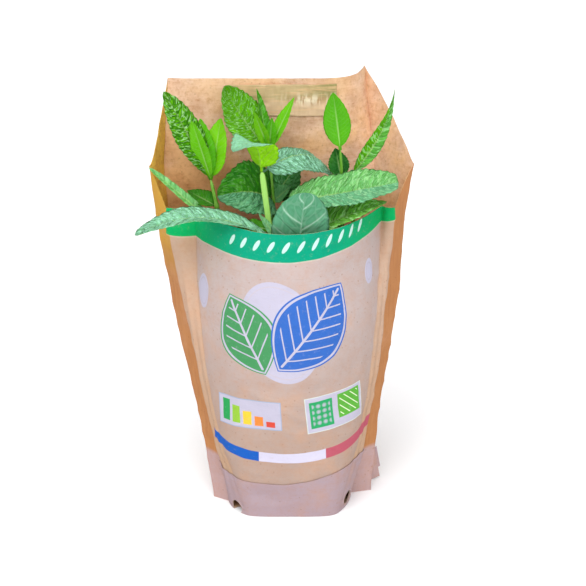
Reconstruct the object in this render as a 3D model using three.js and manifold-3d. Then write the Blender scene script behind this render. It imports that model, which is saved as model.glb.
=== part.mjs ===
// Potted mint in a kraft paper carrier bag. Millimetres, +Z up.
// The origin is the middle of the bag's flat base, on the surface it stands on. The printed front faces -Y,
// and +X is to the right of somebody who looks at that front.
import * as THREE from "three";
import { mergeVertices } from "three/addons/utils/BufferGeometryUtils.js";
import Module from "manifold-3d";

const wasm = await Module();
wasm.setup();
const DEG = Math.PI / 180;

// ---- driving dimensions -------------------------------------------------------------------------------

// Paper bag: tapered, with side gussets folded outwards, cut low in front and tall behind.
const PAPER = 0.8; // the doubled sheet's thickness
const RIM_HEIGHT = 193; // the low front edge
const GUSSET_HEIGHT = 216; // where the slanting side cut meets the gusset's middle fold
const BAG_HEIGHT = 265.6; // the tall back panel
const CORNER_RISE = 0.8; // how far the right corner of the back panel stands above the rest

// A strip of film across the top of the back panel's inner face.
const FILM = { left: -41, right: 27, low: 242, high: 262, thick: 0.7, gap: 0.3 };

// Holes punched through the lower front corners. share is the place between front corner and printed edge.
const VENT = { radius: 4.5, share: 0.3, height: { right: 6.8, left: 3 } };

// Nursery pot: a thin-walled round pot with a rolled rim and drain holes, standing in the bag.
const POT = { x: -2.5, floor: 1.1, height: 91, foot: 35.5, mouth: 50.3, wall: 1, lip: 2, lipDepth: 5 };
const POT_SIDES = 28;
const DRAIN = { count: 6, radius: 4, ring: 23 };

// Compost fills the pot to this height, and each stem stands in a plain hole in it.
const SOIL = { height: 82, clearance: 0.3, bump: 1.2 };
const ROOT_DEPTH = 22;
const HOLE_CLEARANCE = 0.5;

const STEM_STEPS = 12; // rings along one stem

// Leaves: a blade on a short stalk, both faces offset from its middle surface.
const BLADE = 0.8;
const STALK = { share: 0.06, half: 0.9 };
const TIP_HALF = 0.4;
const TOOTH = 0.07; // a tooth's rise and fall, as a share of the leaf's half width

// ---- materials ----------------------------------------------------------------------------------------

const material = (color, roughness) => new THREE.MeshStandardMaterial({ color, roughness, metalness: 0 });
const KRAFT = material(0xc9a078, 0.85);
const CLOUDY_FILM = material(0x9c8a6c, 0.35);
const TAUPE = material(0x6d5646, 0.5);
const PEAT = material(0x3a2617, 0.95);
const MINT = material(0x4f9a35, 0.5);

// ---- solids -------------------------------------------------------------------------------------------

// A closed geometry as a solid for booleans.
function solid(geometry) {
  const bare = geometry.clone();
  bare.deleteAttribute("normal");
  bare.deleteAttribute("uv");
  const merged = mergeVertices(bare, 1e-4);
  return new wasm.Manifold(
    new wasm.Mesh({
      numProp: 3,
      vertProperties: new Float32Array(merged.attributes.position.array),
      triVerts: new Uint32Array(merged.index.array),
    }),
  );
}

// A solid back as a geometry, with its loose scraps dropped.
function geometryOf(made) {
  const whole = made.decompose().sort((a, b) => b.volume() - a.volume())[0];
  const { numProp, vertProperties, triVerts, numVert } = whole.getMesh();
  const position = new Float32Array(numVert * 3);
  for (let i = 0; i < numVert; i++) {
    position.set(vertProperties.subarray(i * numProp, i * numProp + 3), i * 3);
  }
  return new THREE.BufferGeometry()
    .setAttribute("position", new THREE.BufferAttribute(position, 3))
    .setIndex(new THREE.BufferAttribute(triVerts, 1));
}

function geometryFrom(points, triangles) {
  return new THREE.BufferGeometry()
    .setAttribute("position", new THREE.Float32BufferAttribute(points.flat(), 3))
    .setIndex(triangles.flat());
}

// A closed skin over rings of points, each ring running the same way round, with flat fans on both ends.
function closedLoft(rings) {
  const around = rings[0].length;
  const points = rings.flat();
  const triangles = [];
  for (let j = 0; j + 1 < rings.length; j++) {
    for (let i = 0; i < around; i++) {
      const a = j * around + i;
      const b = j * around + ((i + 1) % around);
      triangles.push([a, b, b + around], [a, b + around, a + around]);
    }
  }
  const last = (rings.length - 1) * around;
  for (let i = 1; i + 1 < around; i++) {
    triangles.push([0, i + 1, i], [last, last + i, last + i + 1]);
  }
  return geometryFrom(points, triangles);
}

function latheZ(profile, segments) {
  const points = profile.map(([r, z]) => new THREE.Vector2(r, z));
  return new THREE.LatheGeometry(points, segments).rotateX(Math.PI / 2);
}

function postZ(radius, height, sides, x, y, z) {
  return new THREE.CylinderGeometry(radius, radius, height, sides).rotateX(Math.PI / 2).translate(x, y, z);
}

// ---- the paper bag ------------------------------------------------------------------------------------

const mix = (a, b, t) => a + (b - a) * t;
const mixPoint = (p, q, t) => [mix(p[0], q[0], t), mix(p[1], q[1], t)];

// The bag's standing folds: where each one's outer face passes at the heights in LEVELS. The folds are the
// middle of the front, the front corner, the edge of the printed panel, the gusset's middle fold, the back
// corner and the middle of the back.
const LEVELS = [0, 60, 129, 193, 264];
const FRONT_MIDDLE = [[-2, -38.7], [-2.5, -50.5], [-3, -56.5], [-2, -51.5], [-2, -51.5]];
const BACK_MIDDLE = [[-2, 37.8], [-3, 52.5], [-7, 54], [-12, 33], [-14, 27]];
const FOLDS = {
  right: {
    corner: [[29, -33], [43.4, -26], [51.5, -18], [54, 0], [54, 0]],
    edge: [[37, -8], [48.8, -10], [57.2, -6], [62.3, -3], [62.3, -3]],
    gusset: [[50.7, -4.5], [56, 0], [65.8, 6], [70.1, 10], [85, 16]],
    back: [[39, 7], [47, 15], [54, 26], [52, 34], [44.5, 56]],
  },
  left: {
    corner: [[-30, -36], [-47.2, -30], [-57, -20], [-59.5, -2], [-59.5, -2]],
    edge: [[-41, -19], [-52.6, -14], [-66.8, -9], [-77.4, -3], [-77.4, -3]],
    gusset: [[-51, -13], [-61.5, -3], [-75.1, 3], [-85, 7], [-92, 10]],
    back: [[-40, 7], [-51, 15], [-68, 22], [-80, 30], [-76, 28]],
  },
};
const FRONT_CRISP = [2.2, 1, 1, 1, 1]; // above 1 the panel stays flat for longer and then turns its corner
const BACK_CRISP = [2.2, 1, 1, 1.3, 2.6];
const FRONT_SWEEP = [75, 75, 60, 45, 45]; // how far a panel turns from its middle to its corner, in degrees
const BACK_SWEEP = [75, 75, 75, 75, 75];
const SIDE_BOW = 2; // the printed panel's sides bulge by this between front corner and edge
const CUT_POWER = { right: 1.25, left: 2 }; // how the slanting side cut rises to the back corner

// A fold's place at height z, on a smooth curve through its levels.
function along(values, z) {
  let i = 0;
  while (i < LEVELS.length - 2 && z > LEVELS[i + 1]) i += 1;
  const slope = (k) => {
    const [low, high] = [Math.max(0, k - 1), Math.min(LEVELS.length - 1, k + 1)];
    return (values[high] - values[low]) / (LEVELS[high] - LEVELS[low]);
  };
  const span = LEVELS[i + 1] - LEVELS[i];
  const t = (z - LEVELS[i]) / span;
  const ease = t * t * (3 - 2 * t);
  const bend = span * (t * (1 - t) ** 2 * slope(i) - t * t * (1 - t) * slope(i + 1));
  return mix(values[i], values[i + 1], ease) + bend;
}

const fold = (levels, z) => [0, 1].map((axis) => along(levels.map((place) => place[axis]), z));

// Half of a front or back panel, from its middle (0) round to its corner (1).
function panel(middle, corner, a, crisp, sweep) {
  const turn = sweep * DEG;
  const across = Math.sin(turn * a) / Math.sin(turn);
  const round = (1 - Math.cos(turn * a)) / (1 - Math.cos(turn));
  return [mix(middle[0], corner[0], across), mix(middle[1], corner[1], round ** crisp)];
}

// The stretches of half an outline, in order from the middle of the front, with the steps in each.
const STRETCHES = [
  ["front", 5],
  ["side", 2],
  ["frontGusset", 1],
  ["rearGusset", 3],
  ["back", 5],
];

// The outer face at height z, a being the share of the stretch that lies before it.
function bagPoint(side, stretch, a, z) {
  const { corner, edge, gusset, back } = FOLDS[side];
  if (stretch === "front") {
    return panel(fold(FRONT_MIDDLE, z), fold(corner, z), a, along(FRONT_CRISP, z), along(FRONT_SWEEP, z));
  }
  if (stretch === "back") {
    return panel(fold(BACK_MIDDLE, z), fold(back, z), 1 - a, along(BACK_CRISP, z), along(BACK_SWEEP, z));
  }
  if (stretch === "frontGusset") return mixPoint(fold(edge, z), fold(gusset, z), a);
  if (stretch === "rearGusset") return mixPoint(fold(gusset, z), fold(back, z), a);
  const [from, to] = [fold(corner, z), fold(edge, z)];
  const [x, y] = mixPoint(from, to, a);
  const length = Math.hypot(to[0] - from[0], to[1] - from[1]);
  const bow = SIDE_BOW * 4 * a * (1 - a) * (side === "right" ? 1 : -1);
  return [x + (bow * (to[1] - from[1])) / length, y - (bow * (to[0] - from[0])) / length];
}

function edgeHeight(side, stretch, a) {
  const corner = side === "right" ? BAG_HEIGHT + CORNER_RISE : BAG_HEIGHT;
  if (stretch === "frontGusset") return mix(RIM_HEIGHT, GUSSET_HEIGHT, a);
  if (stretch === "rearGusset") return mix(GUSSET_HEIGHT, corner, a ** CUT_POWER[side]);
  if (stretch === "back") return mix(corner, BAG_HEIGHT, Math.min(1, 3 * a));
  return RIM_HEIGHT;
}

// The outline's columns, once round from the middle of the front, to the right first.
function bagColumns() {
  const half = STRETCHES.flatMap(([stretch, steps]) =>
    Array.from({ length: steps }, (_, i) => ({ stretch, a: i / steps })),
  );
  const right = half.map((column) => ({ side: "right", ...column }));
  const end = { side: "right", stretch: "back", a: 1 };
  const left = half.slice(1).map((column) => ({ side: "left", ...column }));
  return [...right, end, ...left.reverse()];
}

// A ring moved inwards from both edges that meet at each of its points.
function inset(ring, distance) {
  return ring.map(([x, y], i) => {
    const [px, py] = ring[(i + ring.length - 1) % ring.length];
    const [nx, ny] = ring[(i + 1) % ring.length];
    const before = new THREE.Vector2(py - y, x - px).normalize();
    const after = new THREE.Vector2(y - ny, nx - x).normalize();
    const both = before.clone().add(after).normalize();
    const reach = distance / Math.max(0.4, both.dot(before));
    return [x + both.x * reach, y + both.y * reach];
  });
}

const BAG_ROWS = [0, 0.09, 0.19, 0.3, 0.4, 0.49, 0.58, 0.68, 0.79, 0.9, 1]; // shares of each column's height

// A closed skin that follows the bag, its faces so far behind the outer one, with a floor as thick.
function bagSkin(near, far) {
  const columns = bagColumns();
  const outer = [];
  const inner = [];
  for (const share of BAG_ROWS) {
    const heights = columns.map(({ side, stretch, a }) => edgeHeight(side, stretch, a) * share);
    const ring = columns.map(({ side, stretch, a }, i) => bagPoint(side, stretch, a, heights[i]));
    outer.push(inset(ring, near).map(([x, y], i) => [x, y, Math.max(near, heights[i])]));
    inner.push(inset(ring, far).map(([x, y], i) => [x, y, Math.max(far, heights[i])]));
  }
  const around = columns.length;
  const points = [...outer.flat(), ...inner.flat(), [0, 0, near], [0, 0, far]];
  const offset = outer.length * around;
  const top = (outer.length - 1) * around;
  const triangles = [];
  for (let i = 0; i < around; i++) {
    const next = (i + 1) % around;
    for (let j = 0; j < top; j += around) {
      const [a, b, c, d] = [j + i, j + next, j + around + next, j + around + i];
      triangles.push([a, b, c], [a, c, d]);
      triangles.push([offset + b, offset + a, offset + c], [offset + c, offset + a, offset + d]);
    }
    const [a, b, c, d] = [top + i, top + next, offset + top + next, offset + top + i];
    triangles.push([a, b, c], [a, c, d]);
    triangles.push([next, i, 2 * offset], [offset + i, offset + next, 2 * offset + 1]);
  }
  return geometryFrom(points, triangles);
}

// The right gusset's loose lower corner, a three-cornered tab of the same sheet.
const TAB = { from: [45, 1.5], to: [57.5, 12], low: 1.5, high: 27 };

function baseTab() {
  const reach = Math.hypot(TAB.to[0] - TAB.from[0], TAB.to[1] - TAB.from[1]);
  const outline = [[0, TAB.low], [reach, TAB.low], [reach * 0.6, TAB.high], [0, TAB.high]];
  const shape = new THREE.Shape(outline.map(([x, z]) => new THREE.Vector2(x, z)));
  return new THREE.ExtrudeGeometry(shape, { depth: PAPER, bevelEnabled: false })
    .rotateX(Math.PI / 2)
    .rotateZ(Math.atan2(TAB.to[1] - TAB.from[1], TAB.to[0] - TAB.from[0]))
    .translate(TAB.from[0], TAB.from[1], 0);
}

function vent(side) {
  const height = VENT.height[side];
  const [x, y] = bagPoint(side, "side", VENT.share, height);
  const [nx, ny] = bagPoint(side, "side", VENT.share + 0.2, height);
  return new THREE.CylinderGeometry(VENT.radius, VENT.radius, 9, 16)
    .rotateZ(Math.atan2(ny - y, nx - x))
    .translate(x, y, height);
}

function paperBag() {
  let bag = solid(bagSkin(0, PAPER)).add(solid(baseTab()));
  for (const side of ["right", "left"]) bag = bag.subtract(solid(vent(side)));
  return geometryOf(bag);
}

// The film follows the back panel's inner face.
function filmStrip() {
  const near = PAPER + FILM.gap;
  const skin = solid(bagSkin(near, near + FILM.thick));
  const [width, height, depth] = [FILM.right - FILM.left, FILM.high - FILM.low, 40];
  const patch = new THREE.BoxGeometry(width, depth, height);
  patch.translate((FILM.right + FILM.left) / 2, depth / 2 + 10, (FILM.high + FILM.low) / 2);
  return geometryOf(skin.intersect(solid(patch)));
}

// ---- pot and compost ----------------------------------------------------------------------------------

// The outer radius of the pot's wall at height z.
function potRadius(z) {
  return mix(POT.foot, POT.mouth, (z - POT.floor) / POT.height);
}

function nurseryPot() {
  const top = POT.floor + POT.height;
  const ledge = top - POT.lipDepth;
  const profile = [
    [0, POT.floor],
    [POT.foot, POT.floor],
    [potRadius(ledge), ledge],
    [potRadius(ledge) + POT.lip, ledge],
    [POT.mouth + POT.lip, top],
    [POT.mouth - POT.wall, top],
    [POT.foot - POT.wall, POT.floor + POT.wall],
    [0, POT.floor + POT.wall],
  ];
  let pot = solid(latheZ(profile, POT_SIDES));
  for (let i = 0; i < DRAIN.count; i++) {
    const turn = (i / DRAIN.count) * 2 * Math.PI;
    const [x, y] = [DRAIN.ring * Math.cos(turn), DRAIN.ring * Math.sin(turn)];
    pot = pot.subtract(solid(postZ(DRAIN.radius, 8, 12, x, y, POT.floor)));
  }
  return geometryOf(pot).translate(POT.x, 0, 0);
}

// A repeatable draw between -1 and 1 from two whole numbers.
function draw(i, j) {
  const wave = Math.sin(i * 127.1 + j * 311.7) * 43758.5453;
  return 2 * (wave - Math.floor(wave)) - 1;
}

// The fill stays clear of the pot's many-sided wall, and its top is lumpy.
function compostFill() {
  const low = POT.floor + POT.wall + SOIL.clearance;
  const gap = POT.wall + 2 * SOIL.clearance;
  const edge = potRadius(SOIL.height) - gap;
  const circle = (radius, z, bump) =>
    Array.from({ length: POT_SIDES }, (_, i) => {
      const turn = (i / POT_SIDES) * 2 * Math.PI;
      const height = z + bump * draw(i, Math.round(radius));
      return [POT.x + radius * Math.cos(turn), radius * Math.sin(turn), height];
    });
  const rings = [circle(potRadius(low) - gap, low, 0), circle(edge, SOIL.height - 3, 0)];
  for (const share of [0.82, 0.56, 0.3]) rings.push(circle(edge * share, SOIL.height, SOIL.bump));
  rings.push(circle(2, SOIL.height, 0));
  let fill = solid(closedLoft(rings));
  for (const { foot, girth } of Object.values(SHOOTS)) {
    const deep = ROOT_DEPTH + SOIL.clearance;
    const hole = postZ(girth[0] + HOLE_CLEARANCE, 2 * deep, 8, foot[0], foot[1], SOIL.height);
    fill = fill.subtract(solid(hole));
  }
  return geometryOf(fill);
}

// ---- mint ---------------------------------------------------------------------------------------------

// A blade's half width from base (0) to tip (1), as a share of its greatest. A higher point moves the widest
// place towards the tip, and a lower taper makes both ends rounder.
const bladeShare = (b, point, taper) => Math.sin(Math.PI * b ** point) ** taper;

// A leaf runs from its base to its tip. face is the way its upper side looks, sag how far it arches that way
// and bow how far it bends sideways. fold is how far its halves rise from the rib, and twist how far it turns
// about the rib by the tip.
const LEAF = { sag: 0, bow: 0, fold: 14, twist: 0, teeth: 5, tooth: TOOTH, point: 0.74, taper: 0.85 };
const SMOOTH = { fold: 8, tooth: 0.02 };
const ROUND = { fold: 5, tooth: 0.02, point: 1.2, taper: 0.5 };

function leafGeometry(leaf) {
  const { base, tip, width, face, sag, bow, fold, twist, teeth, tooth, point, taper } = { ...LEAF, ...leaf };
  const from = new THREE.Vector3(...base);
  const chord = new THREE.Vector3(...tip).sub(from);
  const length = chord.length();
  const ahead = chord.clone().normalize();
  const up = new THREE.Vector3(...face);
  up.addScaledVector(ahead, -up.dot(ahead)).normalize();
  const across = up.clone().cross(ahead);
  const shares = [0];
  for (let k = 1; k <= teeth; k++) shares.push((k - 0.2) / (teeth + 0.7), k / (teeth + 0.7));
  shares.push(1);
  const rows = [0, STALK.share / 2, ...shares.map((b) => mix(STALK.share, 1, b))];
  const rings = rows.map((u, j) => {
    const b = Math.max(0, (u - STALK.share) / (1 - STALK.share));
    const notch = j > 2 && j < rows.length - 1 ? tooth * (j % 2 ? 1 : -1) : 0;
    const least = mix(STALK.half, TIP_HALF, b);
    const half = Math.max(least, (width / 2) * (bladeShare(Math.min(1, b), point, taper) + notch));
    const lean = Math.atan2(4 * sag * (1 - 2 * u), length);
    const arch = 4 * u * (1 - u);
    const rib = from.clone().addScaledVector(chord, u);
    rib.addScaledVector(up, sag * arch).addScaledVector(across, bow * arch);
    const level = up.clone().multiplyScalar(Math.cos(lean)).addScaledVector(ahead, -Math.sin(lean));
    const turn = twist * u * DEG;
    const side = across.clone().multiplyScalar(Math.cos(turn)).addScaledVector(level, Math.sin(turn));
    const normal = level.multiplyScalar(Math.cos(turn)).addScaledVector(across, -Math.sin(turn));
    const place = (v, skin) =>
      rib
        .clone()
        .addScaledVector(side, v * half * Math.cos(fold * DEG))
        .addScaledVector(normal, Math.abs(v) * half * Math.sin(fold * DEG) + (skin * BLADE) / 2)
        .toArray();
    return [place(-1, -1), place(0, -1), place(1, -1), place(1, 1), place(0, 1), place(-1, 1)];
  });
  return bladeLoft(rings);
}

// Skins a blade's rings, each with three points below and three above, with both faces split alike.
function bladeLoft(rings) {
  const triangles = [];
  const quad = (a, b, c, d) => triangles.push([a, b, c], [a, c, d]);
  for (let j = 0; j + 1 < rings.length; j++) {
    const [n, m] = [j * 6, j * 6 + 6];
    quad(n + 1, m + 1, m, n);
    quad(n + 1, n + 2, m + 2, m + 1);
    quad(n + 4, n + 5, m + 5, m + 4);
    quad(n + 4, m + 4, m + 3, n + 3);
    quad(n + 2, n + 3, m + 3, m + 2);
    quad(n + 5, n, m, m + 5);
  }
  const end = (rings.length - 1) * 6;
  quad(0, 5, 4, 1);
  quad(1, 4, 3, 2);
  quad(end, end + 1, end + 4, end + 5);
  quad(end + 1, end + 2, end + 3, end + 4);
  return geometryFrom(rings.flat(), triangles);
}

// Each shoot stands in the compost at foot and passes through nodes. girth is half of its square stem's
// diagonal at the root and at the tip. A pair is two like leaves on opposite sides of a node, turned by so
// many degrees. Other leaves reach from their node to a tip of their own.
const SHOOTS = {
  left: {
    foot: [-26, 2],
    nodes: [[-33, 2, 125], [-40, 2, 160], [-43.3, 2, 177], [-46.3, 2, 192.5], [-49.7, 5, 208.1]],
    girth: [2.2, 1.45],
    pairs: [
      { node: 0, turn: 95, length: 34, width: 19, rise: 25 },
      { node: 1, turn: 0, length: 24, width: 15, rise: 30 },
    ],
    leaves: [
      {
        node: 4, tip: [-75.9, -4, 265.3], width: 19, face: [0.45, -0.85, 0.1], sag: 2, teeth: 7,
        point: 1.05, taper: 0.7,
      },
      {
        node: 4, tip: [-59.5, -6, 248], width: 12, face: [-0.3, -0.95, 0], teeth: 4, fold: 20,
        point: 0.85, taper: 0.65,
      },
      {
        node: 4, tip: [-55.7, 9, 245.4], width: 12, face: [0.3, -0.95, 0], teeth: 4, point: 0.85,
        taper: 0.7,
      },
      {
        node: 4, tip: [-43.5, 16, 243.7], width: 17, face: [-0.4, -0.9, 0.1], teeth: 4, tooth: 0.03,
        taper: 0.7,
      },
      {
        node: 2, tip: [-86.6, 2, 216.6], width: 7, face: [-0.2, -0.5, 0.8], fold: 30, point: 0.9,
        taper: 0.5,
      },
      { node: 3, tip: [-64.9, 14, 198.5], width: 13, face: [0, -0.5, 0.85], teeth: 4 },
    ],
  },
  back: {
    foot: [-10, 14],
    nodes: [[-10, 13, 136], [-11, 10, 168], [-11.9, 8, 194], [-14.5, 12, 224.9]],
    girth: [1.8, 1.2],
    pairs: [
      { node: 0, turn: 0, length: 26, width: 16, rise: 35 },
      { node: 1, turn: 80, length: 20, width: 14, rise: 40 },
    ],
    leaves: [
      {
        node: 3, tip: [-40.9, 10, 265], width: 26, face: [0.35, -0.85, 0.3], sag: -6, teeth: 7,
        point: 0.85, taper: 0.6,
      },
      { node: 3, tip: [-21.9, 17, 261.8], width: 9, face: [0.8, -0.6, 0], teeth: 5, fold: 25 },
      { node: 3, tip: [-23.2, 5, 250.5], width: 8, face: [-0.3, -0.9, 0.2], teeth: 3 },
      { node: 3, tip: [-12.6, 8, 246.3], width: 8, face: [0.2, -0.9, 0.2], teeth: 3 },
      { node: 3, tip: [0.8, 16, 256.7], width: 9, face: [-0.5, -0.8, 0.2], teeth: 5, fold: 20 },
      { node: 2, tip: [-45.4, -8, 202], width: 40, face: [-0.2, -0.7, 0.7], sag: 8, teeth: 6, taper: 0.6 },
      { node: 2, tip: [4, 13, 216], width: 26, face: [-0.1, -0.6, 0.7], sag: 2 },
      { node: 2, tip: [-1, 0, 206], width: 11, face: [-0.2, -0.7, 0.7], teeth: 3 },
    ],
  },
  middle: {
    foot: [-9, -12],
    nodes: [[-10, -18, 116], [-12, -24, 165], [-13.9, -26, 188], [-18.2, -20, 221]],
    girth: [2.2, 2.6],
    pairs: [{ node: 0, turn: 60, length: 24, width: 15, rise: 30 }],
    leaves: [
      {
        node: 3, tip: [-34.5, -37, 238.4], width: 31, face: [0.15, 0.25, 0.92], sag: 11.5, fold: 8,
        twist: -9, point: 0.68, taper: 0.7,
      },
      {
        node: 3, tip: [23.6, 4, 211.9], width: 24, face: [0.1, -0.4, 0.9], sag: 12, bow: 3, teeth: 7,
        fold: -16, taper: 0.45,
      },
      { node: 2, tip: [-33, -29, 190], width: 12, face: [0, -0.5, 0.85], teeth: 4 },
    ],
  },
  upright: {
    foot: [20, 2],
    nodes: [[24, 0, 118], [28, -4, 170], [29.1, -6, 212], [28, -8, 230.7]],
    girth: [1.8, 1.2],
    pairs: [
      { node: 0, turn: 110, length: 28, width: 17, rise: 25 },
      { node: 1, turn: 100, length: 18, width: 12, rise: 35 },
    ],
    leaves: [
      {
        node: 3, tip: [23.4, -6, 265.2], width: 16.5, face: [-0.1, -1, 0.1], sag: -2, ...SMOOTH,
        point: 0.8, taper: 0.75,
      },
      { node: 2, tip: [25.5, 6, 228], width: 13, face: [0, -0.9, 0.3], teeth: 4 },
    ],
  },
  right: {
    foot: [30, 16],
    nodes: [[36, 12, 140], [37, 8, 180], [33.8, 4, 210]],
    girth: [1.9, 1.25],
    pairs: [{ node: 0, turn: 120, length: 20, width: 12, rise: 35 }],
    leaves: [
      {
        node: 2, tip: [59.6, -6, 267.4], width: 10, face: [-0.5, -0.8, 0.2], sag: -6, bow: -2.5,
        twist: 70, teeth: 7, point: 0.6, taper: 1.3,
      },
    ],
  },
  spreading: {
    foot: [12, -10],
    nodes: [[6, -14, 146], [-3, -21, 176], [-6.5, -21, 202]],
    girth: [2, 1.4],
    pairs: [{ node: 0, turn: -55, length: 22, width: 14, rise: 30 }],
    leaves: [
      { node: 2, tip: [62, -23, 215.6], width: 27, face: [0, -0.5, 0.85], teeth: 8, point: 1, taper: 0.3 },
      {
        node: 1, tip: [55.2, -27, 204.8], width: 22, face: [-0.2, -0.35, 0.9], sag: 3, teeth: 6,
        taper: 0.7,
      },
    ],
  },
  front: {
    foot: [2, -27],
    nodes: [[1, -32, 106], [1, -37, 160], [-6, -37.5, 181]],
    girth: [2, 1.4],
    pairs: [{ node: 0, turn: 0, length: 26, width: 17, rise: 25 }],
    leaves: [
      { node: 1, tip: [6.9, -46, 216.9], width: 34.5, face: [-0.15, 0.9, 0.35], ...ROUND },
      {
        node: 2, tip: [-93.2, -32, 186], width: 19, face: [0, 0.05, 1], sag: 14, twist: -25, teeth: 9,
        point: 1.15, taper: 0.5,
      },
      { node: 2, tip: [-20, -34, 200], width: 6, face: [0.3, -0.6, 0.4], teeth: 2 },
    ],
  },
};

function stemCurve({ foot: [x, y], nodes }) {
  const root = SOIL.height - ROOT_DEPTH;
  const points = [[x, y, root], [x, y, root + ROOT_DEPTH / 2], [x, y, SOIL.height + 6], ...nodes];
  return new THREE.CatmullRomCurve3(points.map((p) => new THREE.Vector3(...p)), false, "centripetal");
}

// A mint stem is square.
function stemGeometry(curve, girth) {
  const frames = curve.computeFrenetFrames(STEM_STEPS);
  const rings = frames.normals.map((normal, j) => {
    const share = j / STEM_STEPS;
    const half = mix(girth[0], girth[1], share);
    return [45, 135, 225, 315].map((corner) =>
      curve
        .getPointAt(share)
        .addScaledVector(normal, half * Math.cos(corner * DEG))
        .addScaledVector(frames.binormals[j], half * Math.sin(corner * DEG))
        .toArray(),
    );
  });
  return closedLoft(rings);
}

// The two leaves of a pair, as leaves with tips.
function pairLeaves({ node, turn, length, width, rise }, nodes) {
  return [0, 180].map((half) => {
    const [heading, lift] = [(turn + half) * DEG, rise * DEG];
    const [x, y, z] = nodes[node];
    const reach = length * Math.cos(lift);
    const tip = [x + reach * Math.cos(heading), y + reach * Math.sin(heading), z + length * Math.sin(lift)];
    return { node, tip, width, face: [0, 0, 1], sag: 2, teeth: 4 };
  });
}

function shootGeometry({ foot, nodes, girth, pairs, leaves }) {
  let shoot = solid(stemGeometry(stemCurve({ foot, nodes }), girth));
  const all = [...leaves, ...pairs.flatMap((pair) => pairLeaves(pair, nodes))];
  for (const leaf of all) shoot = shoot.add(solid(leafGeometry({ ...leaf, base: nodes[leaf.node] })));
  return geometryOf(shoot);
}

// ---- assembly -----------------------------------------------------------------------------------------

const plant = new THREE.Group();
function addPiece(name, geometry, finish) {
  const piece = new THREE.Mesh(geometry, finish);
  piece.name = name;
  plant.add(piece);
}

addPiece("paper_bag", paperBag(), KRAFT);
addPiece("film_strip", filmStrip(), CLOUDY_FILM);
addPiece("nursery_pot", nurseryPot(), TAUPE);
addPiece("compost", compostFill(), PEAT);
for (const [name, shoot] of Object.entries(SHOOTS)) {
  addPiece("mint_shoot_" + name, shootGeometry(shoot), MINT);
}

export default plant;
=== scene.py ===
import math

import bmesh
import bpy
import numpy as np
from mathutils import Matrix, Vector, noise


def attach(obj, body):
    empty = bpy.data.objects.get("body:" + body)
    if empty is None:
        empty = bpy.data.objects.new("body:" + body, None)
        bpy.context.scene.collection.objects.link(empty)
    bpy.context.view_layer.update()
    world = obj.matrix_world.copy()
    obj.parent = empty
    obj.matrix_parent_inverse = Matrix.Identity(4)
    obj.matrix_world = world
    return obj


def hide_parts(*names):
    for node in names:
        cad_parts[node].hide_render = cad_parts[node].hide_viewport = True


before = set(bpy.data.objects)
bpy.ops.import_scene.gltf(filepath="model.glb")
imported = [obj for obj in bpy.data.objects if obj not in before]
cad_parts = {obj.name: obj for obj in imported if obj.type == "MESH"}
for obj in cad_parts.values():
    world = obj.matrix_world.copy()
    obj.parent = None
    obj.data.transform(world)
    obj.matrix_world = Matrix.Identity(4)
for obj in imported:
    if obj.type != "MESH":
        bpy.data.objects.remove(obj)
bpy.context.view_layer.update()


# ---- Paper bag ----------------------------------------------------------------------------------------
# A carrier bag of one brown kraft sheet, printed flat, folded, glued up the back and closed at the base.
# The pot has pushed its side gussets out into fins. The front is cut low and the back tall, and the sheet
# is creased where hands have pressed it round the pot.

MM = 0.001
SHEET = 0.4 * MM  # the glued double sheet's thickness
RIM_HEIGHT = 193 * MM
GUSSET_HEIGHT = 216 * MM
BAG_HEIGHT = 265.6 * MM
CORNER_RISE = 0.8 * MM

# The standing folds, seen from above: where each passes at the heights in LEVELS, in millimetres.
LEVELS = np.array([0, 60, 129, 193, 264]) * MM
FOLDS = {
    "right": {
        "corner": [[29, -33], [43.4, -26], [51.5, -18], [54, 0], [54, 0]],
        "edge": [[37, -8], [48.8, -10], [57.2, -6], [62.3, -3], [62.3, -3]],
        "gusset": [[50.7, -4.5], [56, 0], [65.8, 6], [70.1, 10], [85, 16]],
        "back": [[39, 7], [47, 15], [54, 26], [52, 34], [44.5, 56]],
    },
    "left": {
        "corner": [[-30, -36], [-47.2, -30], [-57, -20], [-59.5, -2], [-59.5, -2]],
        "edge": [[-41, -19], [-52.6, -14], [-66.8, -9], [-77.4, -3], [-77.4, -3]],
        "gusset": [[-51, -13], [-61.5, -3], [-75.1, 3], [-85, 7], [-92, 10]],
        "back": [[-40, 7], [-51, 15], [-68, 22], [-80, 30], [-76, 28]],
    },
}
# A panel has its middle's place, its crispness, above 1 where it stays flat for longer and then turns its
# corner, and how far it turns from its middle to its corner, in degrees.
PANELS = {
    "front": {
        "middle": [[-2, -38.7], [-2.5, -50.5], [-3, -56.5], [-2, -51.5], [-2, -51.5]],
        "crisp": [2.2, 1, 1, 1, 1], "sweep": [75, 75, 60, 45, 45], "corner": "corner",
    },
    "back": {
        "middle": [[-2, 37.8], [-3, 52.5], [-7, 54], [-12, 33], [-14, 27]],
        "crisp": [2.2, 1, 1, 1.3, 2.6], "sweep": [75, 75, 75, 75, 75], "corner": "back",
    },
}
SIDE_BOW = 2 * MM
CUT_POWER = {"right": 1.25, "left": 2}
BAG_ROWS = 150
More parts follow.
